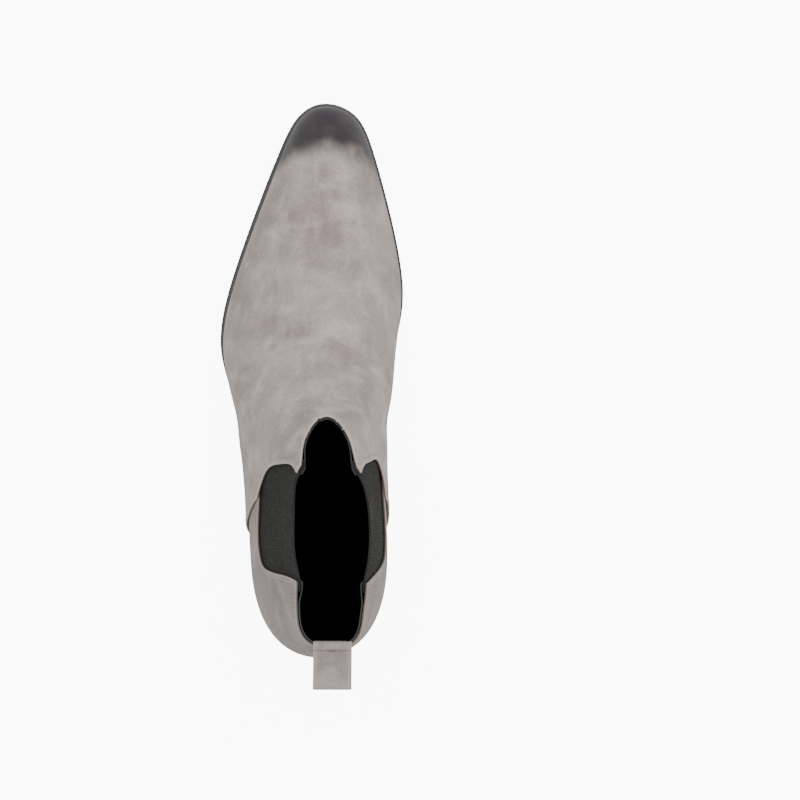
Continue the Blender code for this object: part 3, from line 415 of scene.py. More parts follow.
# y, x round the top of the shaft, from the front by the lateral side to the back and home again
RING = (
    (118, 8.6), (113.5, -1.5), (104, -8.8), (90, -11), (75, -11.7), (60, -11.2), (46, -9.3),
    (30, -8.3), (18, -6.0), (11.5, -0.3), (10.5, 10), (11.5, 20), (18, 24.6), (30, 26.3),
    (44, 28.5), (60, 31), (75, 31.5), (90, 29.8), (104, 25.1), (113.5, 18.4),
)
RING_BACK = 10
RING_Z = 158.0
NOSE_U = 0.515
RING_SHARE = ((NOSE_U, 0), (0.55, 0.045), (0.592, 0.15), (0.672, 0.38), (0.766, 0.61), (0.858, 0.81), (1, 1))
NOSE_EASE = 0.022           # of a column's share, where ridge and ring meet
RIDGE_JUMP = 0.3            # a larger step in column number is a crossing of the ridge
RIDGE_ROUNDING = 0.09       # share of a column over which the ridge is rounded off
# y, z in side view: the gore's front edge on each side, then the side seam down to the sole
GORE_FRONT = {
    "lateral": ((103.5, 172), (103.5, 157), (108, 142), (108, 126), (105.5, 108), (98, 96), (88, 88.5)),
    "medial": ((103.5, 172), (103.5, 157), (108, 142), (109.5, 126), (110, 108), (104, 95), (88, 88.5)),
}
SIDE_SEAM = ((88, 88.5), (83.5, 77), (78, 65), (73.5, 53), (70, 43), (67, 34), (66, 31))
TOPLINE = (
    (113, 172), (109.5, 161), (106.5, 157.6), (103.5, 156.6), (100, 154), (88, 152), (72, 151.5), (56, 153),
    (46, 156.5), (40, 152.5), (28, 148), (12, 146), (-12, 146),
)
# The scoop, drawn across the instep: x from its axis, way up the instep
SCOOP_FOOT = np.array((8.0, 132.0, 126.0))
SCOOP_RISE = math.radians(66.0)
SCOOP = (
    (6.5, -2), (0.2, 3), (-3.2, 10), (-5.8, 17.3), (-7.2, 24), (-7.8, 32), (-8.5, 40), (-9.5, 60),
    (26.5, 60), (25.5, 40), (23.5, 34), (21.8, 26), (20, 19), (17, 11.5), (12.5, 3),
)
SCOOP_DEPTH = 22.0
SCOOP_TAPER = 0.2
SIDES = {"lateral": 1, "medial": -1}


def ring_loop(share):
    """Point on the ring, share 0 at the front and 1 at the front again, and the back's share."""
    loop = np.array(RING + RING[:1], float)
    steps = np.hypot(*np.diff(loop, axis=0).T)
    arc = np.concatenate([[0], np.cumsum(steps)]) / steps.sum()
    knots = np.concatenate([arc[:-1] - 1, arc[:-1], arc + 1])
    points = np.vstack([loop[:-1], loop[:-1], loop])
    return spline(knots, points[:, 1], share), spline(knots, points[:, 0], share), arc[RING_BACK]


def sharp_crest(half, medial):
    """Top of a column: on the ridge as far as the nose, then on the ring of the shaft."""
    ridge = np.array(RIDGE, float)
    stations = np.array(COLUMNS[:RIDGE_COLUMNS])
    knots = np.append(share_of(stations[:, 0]), NOSE_U)
    y_ridge = spline(knots, np.append(stations[:, 8], RING[0][0]), np.clip(half, 0, NOSE_U))
    x_ridge = spline(ridge[:, 0], ridge[:, 1], y_ridge)
    z_ridge = np.minimum(spline(ridge[:, 0], ridge[:, 2], y_ridge), RING_Z)
    share = np.array(RING_SHARE)
    way = np.clip(spline(share[:, 0], share[:, 1], np.clip(half, NOSE_U, 1)), 0, 1)
    back = ring_loop(0.0)[2]
    x_ring, y_ring, _ = ring_loop(np.where(medial, 1 - way * (1 - back), way * back))
    on_ridge = half <= NOSE_U
    return np.stack([np.where(on_ridge, x_ridge, x_ring), np.where(on_ridge, y_ridge, y_ring),
                     np.where(on_ridge, z_ridge, RING_Z)])


def crest(u):
    """Top of column u: a weighted mean along the crest, which eases its corner at the nose."""
    half = np.abs(u)
    reach = NOSE_EASE * smooth_step(1 - np.abs(half - NOSE_U) / (4 * NOSE_EASE))
    return sum(weight * sharp_crest(half + step * reach, u < 0)
               for step, weight in ((-2, 0.08), (-1, 0.24), (0, 0.36), (1, 0.24), (2, 0.08)))


def column_point(u, b):
    """A column is a cubic Bezier: foot, lower handle out along the foot's normal, upper handle, crest.

    Past the crest of a ridge column the point is on the column of the other side.
    """
    over = (b > 1) & (np.abs(u) < NOSE_U)
    u = np.where(over, -u, u)
    b = np.where(over, 2 - b, b)
    u = np.where(u > 1, u - 2, np.where(u < -1, u + 2, u))
    foot_x, foot_y, out_x, out_y = edge_inset(u, around(OUTLINE, 3, 4, u))
    foot = np.stack([foot_x, foot_y, sole_top(foot_y) + GAP])
    flare = around(COLUMNS, 1, 2, u)
    lower = np.stack([foot_x + flare * out_x, foot_y + flare * out_y, around(COLUMNS, 3, 3, u)])
    upper = np.stack([around(COLUMNS, 4, 5, u), around(COLUMNS, 6, 6, u), around(COLUMNS, 7, 7, u)])
    rest = 1 - b
    return foot * rest**3 + 3 * lower * b * rest**2 + 3 * upper * b**2 * rest + crest(u) * b**3


def surface(u, b):
    """Outer face of the upper.  Near the ridge it is a weighted mean of points across the ridge,
    which rounds off the fold that the two sides' columns would leave there."""
    u, b = np.broadcast_arrays(np.asarray(u, float), np.asarray(b, float))
    points = column_point(u, b)
    reach = RIDGE_ROUNDING * smooth_step((0.3 - np.abs(1 - b)) / 0.25)
    reach = reach * smooth_step((NOSE_U - np.abs(u)) / 0.07)
    near = reach > 0
    if near.any():
        steps = np.linspace(-2, 2, 9)[:, None]
        weights = np.exp(-steps**2)
        taps = column_point(np.broadcast_to(u[near], (9, near.sum())), b[near] + steps * reach[near])
        points[:, near] = (taps * weights).sum(axis=1) / weights.sum()
    return points


def outward(u, b):
    """Unit normals and the two tangents of the upper's outer face."""
    small = 2e-3
    by_u = (surface(u + small, b) - surface(u - small, b)) / (2 * small)
    by_b = (surface(u, b + small) - surface(u, b - small)) / (2 * small)
    normal = np.cross(by_u, by_b, axis=0)
    return normal / np.linalg.norm(normal, axis=0), by_u, by_b


def smooth_line(points, step=1.0):
    """A natural cubic spline through given points of a drawing, at even steps."""
    points = np.array(points, float)
    arc = np.concatenate([[0], np.cumsum(np.hypot(*np.diff(points, axis=0).T))])
    at = np.linspace(0, arc[-1], int(arc[-1] / step) + 2)
    return np.column_stack([spline(arc, points[:, 0], at), spline(arc, points[:, 1], at)])


def find_on_upper(u_range, targets, drawn, b_range=(0.0, 1.0)):
    """Columns and heights whose points have these drawing coordinates.

    `drawn` turns surface points (3, n) into the drawing's (2, n); the nearest point of a net is
    the start, and Newton steps with differences finish it.
    """
    targets = np.asarray(targets, float).T
    grid = np.meshgrid(np.linspace(*u_range, 90), np.linspace(*b_range, 70))
    net_u, net_b = (values.ravel() for values in grid)
    net = drawn(surface(net_u, net_b))
    gaps = ((net[:, :, None] - targets[:, None, :])**2).sum(axis=0)
    nearest = gaps.argmin(axis=0)
    u = net_u[nearest]
    b = net_b[nearest]
    small = 1e-4
    for _ in range(6):
        here = drawn(surface(u, b))
        by_u = (drawn(surface(u + small, b)) - here) / small
        by_b = (drawn(surface(u, b - small)) - here) / -small
        miss = targets - here
        size = by_u[0] * by_b[1] - by_u[1] * by_b[0]
        size = np.where(np.abs(size) < 1e-6, 1e-6, size)
        u = u + np.clip((miss[0] * by_b[1] - miss[1] * by_b[0]) / size, -0.01, 0.01)
        b = b + np.clip((by_u[0] * miss[1] - by_u[1] * miss[0]) / size, -0.02, 0.02)
    return np.column_stack([u, b])


def side_view(points):
    """Drawing coordinates from the side: y and z."""
    return points[1:]


def scoop_view(points):
    """Drawing coordinates across the instep: x, narrower the deeper the point lies, and way up."""
    along = np.array((0, -math.cos(SCOOP_RISE), math.sin(SCOOP_RISE)))
    out = np.array((0, math.sin(SCOOP_RISE), math.cos(SCOOP_RISE)))
    reach = points - SCOOP_FOOT.reshape(3, *[1] * (points.ndim - 1))
    depth = np.tensordot(out, reach, 1) / SCOOP_DEPTH
    return np.stack([reach[0] / (1 + depth * SCOOP_TAPER), np.tensordot(along, reach, 1)])


def on_side(word, line, u_range=(0.5, 0.9)):
    """A side-view line on one side of the upper, as columns and heights."""
    sign = SIDES[word]
    low, high = sorted((sign * u_range[0], sign * u_range[1]))
    return find_on_upper((low, high), line, side_view)


def along_topline(first, last, count):
    """Columns and heights of the topline: where a column's z meets the line drawn over its y."""
    u = np.linspace(first, last, count)
    line = smooth_line(TOPLINE[2:], 0.5)[::-1]
    b = np.full(len(u), 0.93)
    for _ in range(12):
        here = surface(u, b)
        ahead = surface(u, b + 1e-4)
        target = np.interp(here[1], line[:, 0], line[:, 1])
        b = b + np.clip((target - here[2]) / ((ahead[2] - here[2]) / 1e-4), -0.05, 0.05)
    return np.column_stack([u, b])


def along_foot(first, last, count):
    """Even columns at the foot, where the upper turns in over the sole."""
    return np.column_stack([np.linspace(first, last, count), np.zeros(count)])


def up_from_foot(*lines):
    """Lines of columns and heights joined, and carried straight down to the foot."""
    return np.vstack([[(lines[0][0, 0], 0.0)], *lines])


def vamp_chart(points):
    """A flat map of the forepart: the ridge is a spine, and each column a spoke to an oval rim."""
    u, b = points[:, 0], points[:, 1]
    spine = np.column_stack([np.sign(u) * np.maximum(np.abs(u) - NOSE_U, 0), 1 - 2 * np.abs(u)])
    rim = np.column_stack([2.5 * np.sin(math.pi * u), 0.3 + 2.5 * np.cos(math.pi * u)])
    return spine + (1 - b)[:, None] * (rim - spine)


def side_chart(points):
    """A flat map of a side: columns stand upright."""
    return points * (3.6, 1.2)


def inside(polygon, points):
    """Which points lie inside a closed polygon: an odd number of its edges crosses the ray to +x."""
    result = np.zeros(len(points), bool)
    ahead = np.roll(polygon, -1, axis=0)
    for (x0, y0), (x1, y1) in zip(polygon, ahead):
        crosses = (points[:, 1] > y0) != (points[:, 1] > y1)
        rise = y1 - y0 if y1 != y0 else 1
        result ^= crosses & (points[:, 0] < (x1 - x0) * (points[:, 1] - y0) / rise + x0)
    return result


def moved_in(outline, chart, distance):
    """A closed outline moved into its piece, square to itself on the surface, and that direction."""
    u, b = outline.T
    points = surface(u, b)
    normal, by_u, by_b = outward(u, b)
    along = np.roll(points, -1, axis=1) - np.roll(points, 1, axis=1)
    inward = np.cross(normal, along, axis=0)
    inward = inward / np.linalg.norm(inward, axis=0)
    metric = (by_u * by_u).sum(0), (by_u * by_b).sum(0), (by_b * by_b).sum(0)
    size = metric[0] * metric[2] - metric[1]**2
    pull = (by_u * inward).sum(0), (by_b * inward).sum(0)
    step = np.column_stack([(pull[0] * metric[2] - pull[1] * metric[1]) / size,
                            (pull[1] * metric[0] - pull[0] * metric[1]) / size])
    trial = outline + step * 0.5
    sign = 1 if np.mean(inside(chart(outline), chart(trial))) > 0.5 else -1
    return outline + sign * step * distance, sign * inward


def distance_to(points, line):
    """Shortest distance from each point (n, 3) to the points of a line (m, 3)."""
    parts = np.array_split(points, max(len(points) // 1500, 1))
    return np.concatenate([np.sqrt(((part[:, None] - line[None])**2).sum(-1)).min(1) for part in parts])


def cut_panel(outline, chart, columns, b_lines, outer, inner, lift=None, rounding=SUEDE_ROUNDING):
    """A piece of sheet cut to a closed outline (n, 2) of columns and heights on the upper.

    Its faces lie at the depths `outer` and `inner` under the surface, raised by `lift`.  A net of
    points inside the outline, `columns` across and `b_lines` up, is joined by triangles, and the
    cut edge is two quarter rounds with a straight wall between them, carried round the outline.
    """
    thickness = inner - outer
    rounding = min(rounding, 0.45 * thickness)
    brim, inward = moved_in(outline, chart, rounding)
    u_lines = np.linspace(outline[:, 0].min(), outline[:, 0].max(), columns)
    net = np.stack(np.meshgrid(u_lines, b_lines), -1).reshape(-1, 2)
    net = net[inside(chart(brim), chart(net))]
    edge_points = surface(*outline.T).T
    from_edge = distance_to(surface(*net.T).T, edge_points)
    spacing = 0.55 * np.median(np.linalg.norm(np.diff(edge_points, axis=0), axis=1)) + rounding
    net = net[from_edge > spacing]
    from_edge = from_edge[from_edge > spacing]

    count = len(outline)
    flat = chart(np.vstack([net, brim]))
    first = len(net)
    rim = [(first + i, first + (i + 1) % count) for i in range(count)]
    found = delaunay_2d_cdt([Vector(point) for point in flat], rim, [], 1, 1e-9)
    original = np.array([ids[0] if ids else -1 for ids in found[3]])
    triangles = original[np.array([face for face in found[2] if len(face) == 3])]
    triangles = triangles[(triangles >= 0).all(axis=1)]
    triangles = triangles[inside(flat[first:], flat[triangles].mean(axis=1))]

    where = np.vstack([net, brim])
    base = surface(*where.T).T
    normal = outward(*where.T)[0].T
    raised = lift(base) if lift else np.zeros(len(base))
    top = base - normal * (outer - raised)[:, None]
    under = base - normal * (inner - raised)[:, None]
    edge_normal = outward(*outline.T)[0].T
    edge_lift = lift(edge_points) if lift else np.zeros(count)
    turn = np.radians((25, 50, 75, 90))
    profile = [(rounding * (1 - math.sin(a)), rounding * (1 - math.cos(a))) for a in turn]
    profile += [(stand_in, thickness - deep) for stand_in, deep in profile[::-1]]
    rings = [edge_points + inward.T * stand_in - edge_normal * (outer - edge_lift + deep)[:, None]
             for stand_in, deep in profile]
    points = np.vstack([top, under, *rings])
    total = len(where)
    loops = [first + np.arange(count)]
    loops += [2 * total + i * count + np.arange(count) for i in range(len(rings))]
    loops += [total + first + np.arange(count)]
    faces = triangles.tolist() + (triangles[:, ::-1] + total).tolist()
    for one, other in zip(loops, loops[1:]):
        faces += np.stack([one, other, np.roll(other, -1), np.roll(one, -1)], -1).tolist()
    edge_share = np.concatenate([from_edge, np.full(count, rounding)])
    distance = np.concatenate([edge_share, edge_share] + [np.full(count, -deep) for _, deep in profile])
    height = points[:, 2] - sole_top(points[:, 1])
    return points, faces, {"from_edge": distance, "above_sole": height}


def drawn_outline(parts, step=0.9):
    """Join lines of columns and heights into one closed outline with even steps on the surface.

    Where a line crosses the ridge its column number changes sign, and no point is put in there.
    """
    joined = np.vstack(parts)
    joined = joined[np.append(True, np.linalg.norm(np.diff(joined, axis=0), axis=1) > 1e-7)]
    points = surface(*joined.T).T
    ahead = np.linalg.norm(np.diff(np.vstack([points, points[:1]]), axis=0), axis=1)
    arc = np.concatenate([[0], np.cumsum(ahead)])
    at = np.linspace(0, arc[-1], int(arc[-1] / step))[:-1]
    ring = np.vstack([joined, joined[:1]])
    over_ridge = np.abs(np.diff(ring[:, 0]))[np.searchsorted(arc, at, "right") - 1] > RIDGE_JUMP
    outline = np.column_stack([np.interp(at, arc, ring[:, 0]), np.interp(at, arc, ring[:, 1])])
    return outline[~over_ridge]


def seam_lift(points):
    """The vamp stands out by one thickness over the quarter's edge, near the side seam only."""
    y, z = points[:, 1], points[:, 2]
    behind = smooth_step((LIFT_FRONT - y) / LIFT_FADE)
    below = smooth_step((sole_top(0) + LIFT_TOP - z) / LIFT_TOP_FADE)
    return (SUEDE + GAP) * behind * below * smooth_step((z - sole_top(y)) / LIFT_FOOT)


def suede_face():
    """Group: napped suede.  Large soft patches where the nap lies differently, clouds, streaks
    along the boot and a fine nap; a burnish at the toe and the sole; a stitch groove beside the
    cut edges, a paler band along them, a raw core, and painted shade in a crease that a piece marks."""
    group, given, put = new_group(
        "suede_face",
        [("Position", "vector"), ("From Edge", "number"), ("Above Sole", "number"), ("Toe", "number"),
         ("Light", "colour"), ("Middle", "colour"), ("Shade", "colour"), ("Burnish", "colour"),
         ("Cut Edge", "colour"), ("Raw Edge", "colour"), ("Groove At", "number"), ("Painted Crease Shade", "number")],
        [("Colour", "colour"), ("Roughness", "number"), ("Height", "number")])
    position = given["Position"]
    patches = noise(group, position, 38, 1.5, 0.5, 0.5)
    clouds = noise(group, position, 17, 2, 0.5, 0.3)
    long_way = add_node(group, "ShaderNodeVectorMath", {0: position, 1: (1, 0.16, 0.3)}, operation="MULTIPLY")
    streaks = noise(group, long_way.outputs[0], 5, 3)
    mottle = noise(group, position, 3.2, 3, 0.7)
    nap = noise(group, position, 1.1, 4, 0.7)
    fibres = noise(group, position, 0.35, 2, 0.6)
    colour = mix_colour(group, ramp(group, patches, 0.28, 0.66), given["Shade"], given["Middle"])
    colour = mix_colour(group, ramp(group, clouds, 0.42, 0.86), colour, given["Light"])
    colour = mix_colour(group, ramp(group, streaks, 0.48, 0.8, 0.0, 0.3), colour, given["Light"])
    darker = mix_colour(group, 1.0, colour, (0.72, 0.7, 0.71, 1), "MULTIPLY")
    colour = mix_colour(group, ramp(group, streaks, 0.5, 0.2, 0.0, 0.3), colour, darker)
    colour = mix_colour(group, ramp(group, mottle, 0.62, 0.3, 0.0, 0.55), colour, darker)
    colour = mix_colour(group, ramp(group, nap, 0.6, 0.36, 0.0, 0.8), colour, darker)
    ragged = math_node(group, "MULTIPLY", math_node(group, "SUBTRACT", clouds, 0.5), 12)
    rise = math_node(group, "MULTIPLY", given["Above Sole"], 0.62)
    toe = math_node(group, "ADD", math_node(group, "ADD", given["Toe"], rise), ragged)
    toe = ramp(group, toe, 54, 35, 0.0, 0.97)
    low = ramp(group, given["Above Sole"], 5, 0, 0.0, 0.6)
    burnish = mix_colour(group, ramp(group, clouds, 0.35, 0.75, 0.0, 0.07), given["Burnish"], given["Shade"])
    colour = mix_colour(group, math_node(group, "MAXIMUM", toe, low), colour, burnish)
    cut = ramp(group, given["From Edge"], 2.5, 1.8, 0.0, 0.4)
    cut = math_node(group, "MAXIMUM", cut, ramp(group, given["From Edge"], 0.9, 0.1))
    colour = mix_colour(group, math_node(group, "MULTIPLY", cut, 0.8), colour, given["Cut Edge"])
    colour = mix_colour(group, ramp(group, given["From Edge"], -0.3, -0.7), colour, given["Raw Edge"])
    # Painted shade: the colour darkened where a piece marks a crease in shadow.
    painted_crease_shade = mix_colour(group, 1.0, colour, (0.3, 0.28, 0.28, 1), "MULTIPLY")
    colour = mix_colour(group, given["Painted Crease Shade"], colour, painted_crease_shade)
    group.links.new(colour, put["Colour"])
    group.links.new(ramp(group, nap, 0.3, 0.7, 0.82, 1.0), put["Roughness"])
    aside = math_node(group, "ABSOLUTE", math_node(group, "SUBTRACT", given["From Edge"], given["Groove At"]))
    groove = ramp(group, aside, 0.0, 0.9, -1.0, 0.0)
    height = math_node(group, "MULTIPLY", nap, 0.35)
    height = math_node(group, "ADD", height, math_node(group, "MULTIPLY", fibres, 0.25))
    height = math_node(group, "ADD", height, math_node(group, "MULTIPLY", streaks, 1.1))
    group.links.new(math_node(group, "ADD", height, groove), put["Height"])
    return group


SUEDE_FACE = suede_face()


def suede(name, groove_at, raw_edge, shade=1.0):
    """Greige suede: how far its stitch groove lies from the cut edges, the colour of its core, and
    a factor on all its colours, which paints shade onto a darker copy for pieces that catch less light."""
    material, tree, shader, position = new_material(name, 0.9, Sheen_Weight=0.1, Sheen_Roughness=0.5)
    face = add_node(tree, "ShaderNodeGroup", node_tree=SUEDE_FACE)
    tree.links.new(position, face.inputs["Position"])
    for socket, word in (("From Edge", "from_edge"), ("Above Sole", "above_sole"), ("Painted Crease Shade", "painted_crease_shade")):
        marked = add_node(tree, "ShaderNodeAttribute", attribute_name=word)
        tree.links.new(marked.outputs["Fac"], face.inputs[socket])
    along = add_node(tree, "ShaderNodeSeparateXYZ", {"Vector": position}).outputs["Y"]
    toe = math_node(tree, "SUBTRACT", HEEL_BACK + SOLE_LENGTH * MM, along)
    toe = math_node(tree, "MULTIPLY", toe, 1 / MM)
    tree.links.new(toe, face.inputs["Toe"])
    for socket, colour in (("Light", (0.5, 0.44, 0.39)), ("Middle", (0.355, 0.305, 0.272)),
                           ("Shade", (0.245, 0.2, 0.185)), ("Burnish", (0.012, 0.0105, 0.014)),
                           ("Cut Edge", (0.45, 0.4, 0.36)), ("Raw Edge", raw_edge)):
        face.inputs[socket].default_value = (*(value * shade for value in colour), 1)
    face.inputs["Groove At"].default_value = groove_at
    tree.links.new(face.outputs["Colour"], shader.inputs["Base Color"])
    tree.links.new(face.outputs["Roughness"], shader.inputs["Roughness"])
    relief(tree, shader, face.outputs["Height"], 0.0003)
    return material


STITCH_IN = 2.5
NET_FOOT = 0.004            # lowest height of a panel's net
RAW_CORE = (0.15, 0.1, 0.085)
upper_suede = suede("greige_suede", STITCH_IN, RAW_CORE)
fronts = {}
for word in SIDES:
    line = smooth_line(GORE_FRONT[word][1:])
    fronts[word] = on_side(word, line[line[:, 1] < 156.6][::-1], (0.42, 0.75))
seams = {word: on_side(word, smooth_line(SIDE_SEAM)[::-1], (0.55, 0.8)) for word in SIDES}
scoop_line = smooth_line(np.array(SCOOP[7::-1] + SCOOP[:7:-1]) - (SCOOP_FOOT[0], 0), 0.8)
scoop_line = scoop_line[scoop_line[:, 1] < 45]
scoop_edge = find_on_upper((0.3, 0.62), scoop_line[scoop_line[:, 0] < 0], scoop_view, (0.4, 1.0))
scoop_other = find_on_upper((-0.62, -0.3), scoop_line[scoop_line[:, 0] >= 0], scoop_view, (0.4, 1.0))
scoop_edge = np.vstack([scoop_edge, scoop_other])
scoop_edge = scoop_edge[surface(*scoop_edge.T)[2] < 157.4]

up_lateral, up_medial = (up_from_foot(seams[word], fronts[word]) for word in SIDES)
foot = along_foot(up_medial[0, 0], up_lateral[0, 0], 400)
vamp_outline = drawn_outline([up_lateral, scoop_edge, up_medial[::-1], foot])
points, faces, marks = cut_panel(vamp_outline, vamp_chart, 331, np.linspace(NET_FOOT, 0.999, 75), 0.0, SUEDE,
                                 seam_lift)
vamp = make_piece("vamp_suede", points, faces, upper_suede, attributes=marks)
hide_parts("vamp")


def stitch_row(name, line, material, step=2.6, radius=0.3, lift=None, body="boot"):
    """A row of stitches along columns and heights on the upper.

    Each stitch is a thread lying in the groove: an ellipsoid ring net bent down at both ends,
    copied to even places along the line with the line's own tangent and normal.
    """
    points = surface(*line.T).T
    normals = outward(*line.T)[0].T
    if lift:
        points = points + normals * lift(points)[:, None]
    arc = np.concatenate([[0], np.cumsum(np.linalg.norm(np.diff(points, axis=0), axis=1))])
    at = np.arange(step / 2, arc[-1], step)
    centre = np.stack([np.interp(at, arc, column) for column in points.T], -1)
    normal = np.stack([np.interp(at, arc, column) for column in normals.T], -1)
    ahead = np.stack([np.interp(at + 0.4, arc, column) for column in points.T], -1) - centre
    ahead = ahead / np.linalg.norm(ahead, axis=1)[:, None]
    normal = normal / np.linalg.norm(normal, axis=1)[:, None]
    across = np.cross(normal, ahead)
    rings = np.linspace(-1, 1, 7)
    turns = np.linspace(0, 2 * math.pi, 7)[:-1]
    way, turn = (values.ravel() for values in np.meshgrid(rings, turns, indexing="ij"))
    girth = radius * np.sqrt(np.maximum(1 - way**4, 0.02))
    shape = np.column_stack([way * step * 0.43, girth * np.cos(turn), girth * np.sin(turn) - 0.45 * way**4])
    points = centre[:, None] + shape[None, :, :1] * ahead[:, None] + shape[None, :, 1:2] * across[:, None] \
        + shape[None, :, 2:] * normal[:, None]
    one = np.array(grid_faces(7, 6, closed=True))
    size = len(way)
    faces = (one[None] + np.arange(len(at))[:, None, None] * size).reshape(-1, 4).tolist()
    caps = np.array([np.arange(6)[::-1], np.arange(size - 6, size)])
    faces += (caps[None] + np.arange(len(at))[:, None, None] * size).reshape(-1, 6).tolist()
    return make_piece(name, points.reshape(-1, 3), faces, material, body=body)


def thread(name, colour):
    """Waxed thread: an even colour with a fine twist."""
    material, tree, shader, position = new_material(name, 0.6)
    twist = noise(tree, position, 0.5, 2)
    tree.links.new(mix_colour(tree, twist, (*(value * 0.75 for value in colour), 1), (*colour, 1)),
                   shader.inputs["Base Color"])
    relief(tree, shader, twist, 0.0001)
    return material


greige_thread = thread("greige_thread", (0.42, 0.37, 0.34))
vamp_row = moved_in(vamp_outline, vamp_chart, STITCH_IN)[0]
vamp_row = vamp_row[vamp_outline[:, 1] > 0.09]
stitch_row("vamp_stitching", vamp_row, greige_thread, lift=seam_lift)


# ---- Quarters ---------------------------------------------------------------------------------
# Two pieces of the same suede behind and under the gores.  They meet at a closed back seam, run
# forward under the vamp's lapped edge, and butt against it where both turn in over the sole.
SEAM_SPARE = 0.0006         # of a column's share, half the back seam
LAP_FOOT = 11.0             # the lap starts this far above the sole
WINDOW_FOOT = ((88, 88.5), (75, 84.3), (62, 82))
GORE_BACK = {
    "lateral": ((62, 82), (54, 85), (50, 96), (48.5, 122), (46.5, 155), (46, 160)),
    "medial": ((68, 83), (59.5, 87), (54, 99), (50, 122), (45.5, 155), (45, 160)),
}
BUTT = 0.0015               # of a column's share, between the edges that meet at the side
# The quarters take the vamp's suede with all its colours darkened: painted shade for their steep sides, which
# catch less light.
QUARTER_PAINTED_SHADE = 0.68

quarter_suede = suede("greige_suede_quarters_painted_shade", STITCH_IN, RAW_CORE, QUARTER_PAINTED_SHADE)
for word, sign in SIDES.items():
    seam_u = sign * (1 - SEAM_SPARE)
    back_line = smooth_line(WINDOW_FOOT[:2] + GORE_BACK[word])
    back_line = on_side(word, back_line[back_line[:, 1] < 155.5], (0.6, 0.9))
    lap = smooth_line(SIDE_SEAM) + (SEAM_LAP, 0)
    lap = lap[lap[:, 1] > sole_top(66) + LAP_FOOT]
    lap = on_side(word, lap[::-1], (0.55, 0.8))
    seam_foot = seams[word][0, 0] + sign * BUTT
    butt_top = seams[word][np.searchsorted(seams[word][:, 1], lap[0, 1] * 0.95)] + (sign * BUTT, 0)
    top = along_topline(back_line[-1, 0] + sign * 0.002, seam_u, 60)
    back = np.column_stack([np.full(60, seam_u), np.linspace(top[-1, 1], 0, 60)])
    foot = along_foot(seam_u, seam_foot, 200)
    outline = drawn_outline([foot, [(seam_foot, 0.02)], butt_top[None], lap, back_line, top, back])
    b_lines = np.linspace(NET_FOOT, outline[:, 1].max(), 95)
    points, faces, marks = cut_panel(outline, side_chart, 121, b_lines, 0.0, SUEDE)
    quarter = make_piece(f"quarter_suede_{word}", points, faces, quarter_suede, attributes=marks)
    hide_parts(f"quarter_{word}")
    row = moved_in(outline, side_chart, STITCH_IN)[0]
    from_foot = np.abs(outline[:, 0]) > abs(back_line[:, 0]).min() - 0.001
    upper_part = (outline[:, 1] > 0.5) & from_foot & (np.abs(outline[:, 0]) < 0.985)
    stitch_row(f"quarter_stitching_{word}", row[upper_part], greige_thread)


# ---- Gores ------------------------------------------------------------------------------------
# Woven elastic let into the sides between suede and lining, with fine upright ribs.  Its margin
# is caught in the stitching round the window, and its top edge is woven closed.
GORE_MARGIN = 6.0
GORE_ROUNDING = 0.5
RIB = 0.95                  # from one upright rib of the weave to the next
PICK = 0.45                 # from one crosswise thread to the next

elastic, tree, shader, position = new_material("charcoal_elastic", 0.85, Specular_IOR_Level=0.1)
along = add_node(tree, "ShaderNodeSeparateXYZ", {"Vector": position}).outputs
ribs = math_node(tree, "SINE", math_node(tree, "MULTIPLY", along["Y"], 2 * math.pi / (RIB * MM)))
picks = math_node(tree, "SINE", math_node(tree, "MULTIPLY", along["Z"], 2 * math.pi / (PICK * MM)))
tone = noise(tree, position, 14, 3)
colour = mix_colour(tree, ramp(tree, tone, 0.35, 0.65), (0.019, 0.019, 0.0175, 1), (0.03, 0.03, 0.028, 1))
colour = mix_colour(tree, ramp(tree, ribs, -1, 0.4, 0.6, 0), colour, (0.011, 0.011, 0.01, 1))
dust = add_node(tree, "ShaderNodeTexVoronoi", {"Vector": position, "Scale": 1 / (2.6 * MM)})
speck = math_node(tree, "MULTIPLY", ramp(tree, dust.outputs["Distance"], 0.16, 0.06),
                  ramp(tree, noise(tree, position, 5, 2), 0.52, 0.66))
colour = mix_colour(tree, speck, colour, (0.2, 0.19, 0.18, 1))
tree.links.new(colour, shader.inputs["Base Color"])
weave = math_node(tree, "ADD", ribs, math_node(tree, "MULTIPLY", picks, 0.35))
relief(tree, shader, weave, 0.00012)
tree.links.new(ramp(tree, tone, 0.3, 0.7, 0.75, 0.95), shader.inputs["Roughness"])

for word, sign in SIDES.items():
    ring = np.vstack([smooth_line(GORE_FRONT[word][1:]), smooth_line(WINDOW_FOOT[:2] + GORE_BACK[word])[1:]])
    ahead = np.roll(ring, -1, axis=0) - np.roll(ring, 1, axis=0)
    away = np.column_stack([ahead[:, 1], -ahead[:, 0]]) / np.hypot(*ahead.T)[:, None]
    turn_sign = np.sign(np.sum(ring[:, 0] * np.roll(ring[:, 1], -1) - ring[:, 1] * np.roll(ring[:, 0], -1)))
    grown = ring + away * GORE_MARGIN * turn_sign
    top_z = np.interp(grown[:, 0], *smooth_line(TOPLINE[2:], 0.5)[::-1].T)
    grown = grown[(grown[:, 1] < top_z - 0.5) & (grown[:, 1] < 156.5)]
    sides_line = on_side(word, grown, (0.4, 0.9))
    top = along_topline(sides_line[-1, 0], sides_line[0, 0], 80)[1:-1]
    outline = drawn_outline([sides_line, top])
    b_lines = np.linspace(outline[:, 1].min(), outline[:, 1].max(), 81)
    deep = SUEDE + GAP
    points, faces, marks = cut_panel(outline, side_chart, 71, b_lines, deep, deep + STIFFENER,
                                     rounding=GORE_ROUNDING)
    gore = make_piece(f"gore_elastic_{word}", points, faces, elastic, attributes=marks)
    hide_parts(f"gore_{word}")


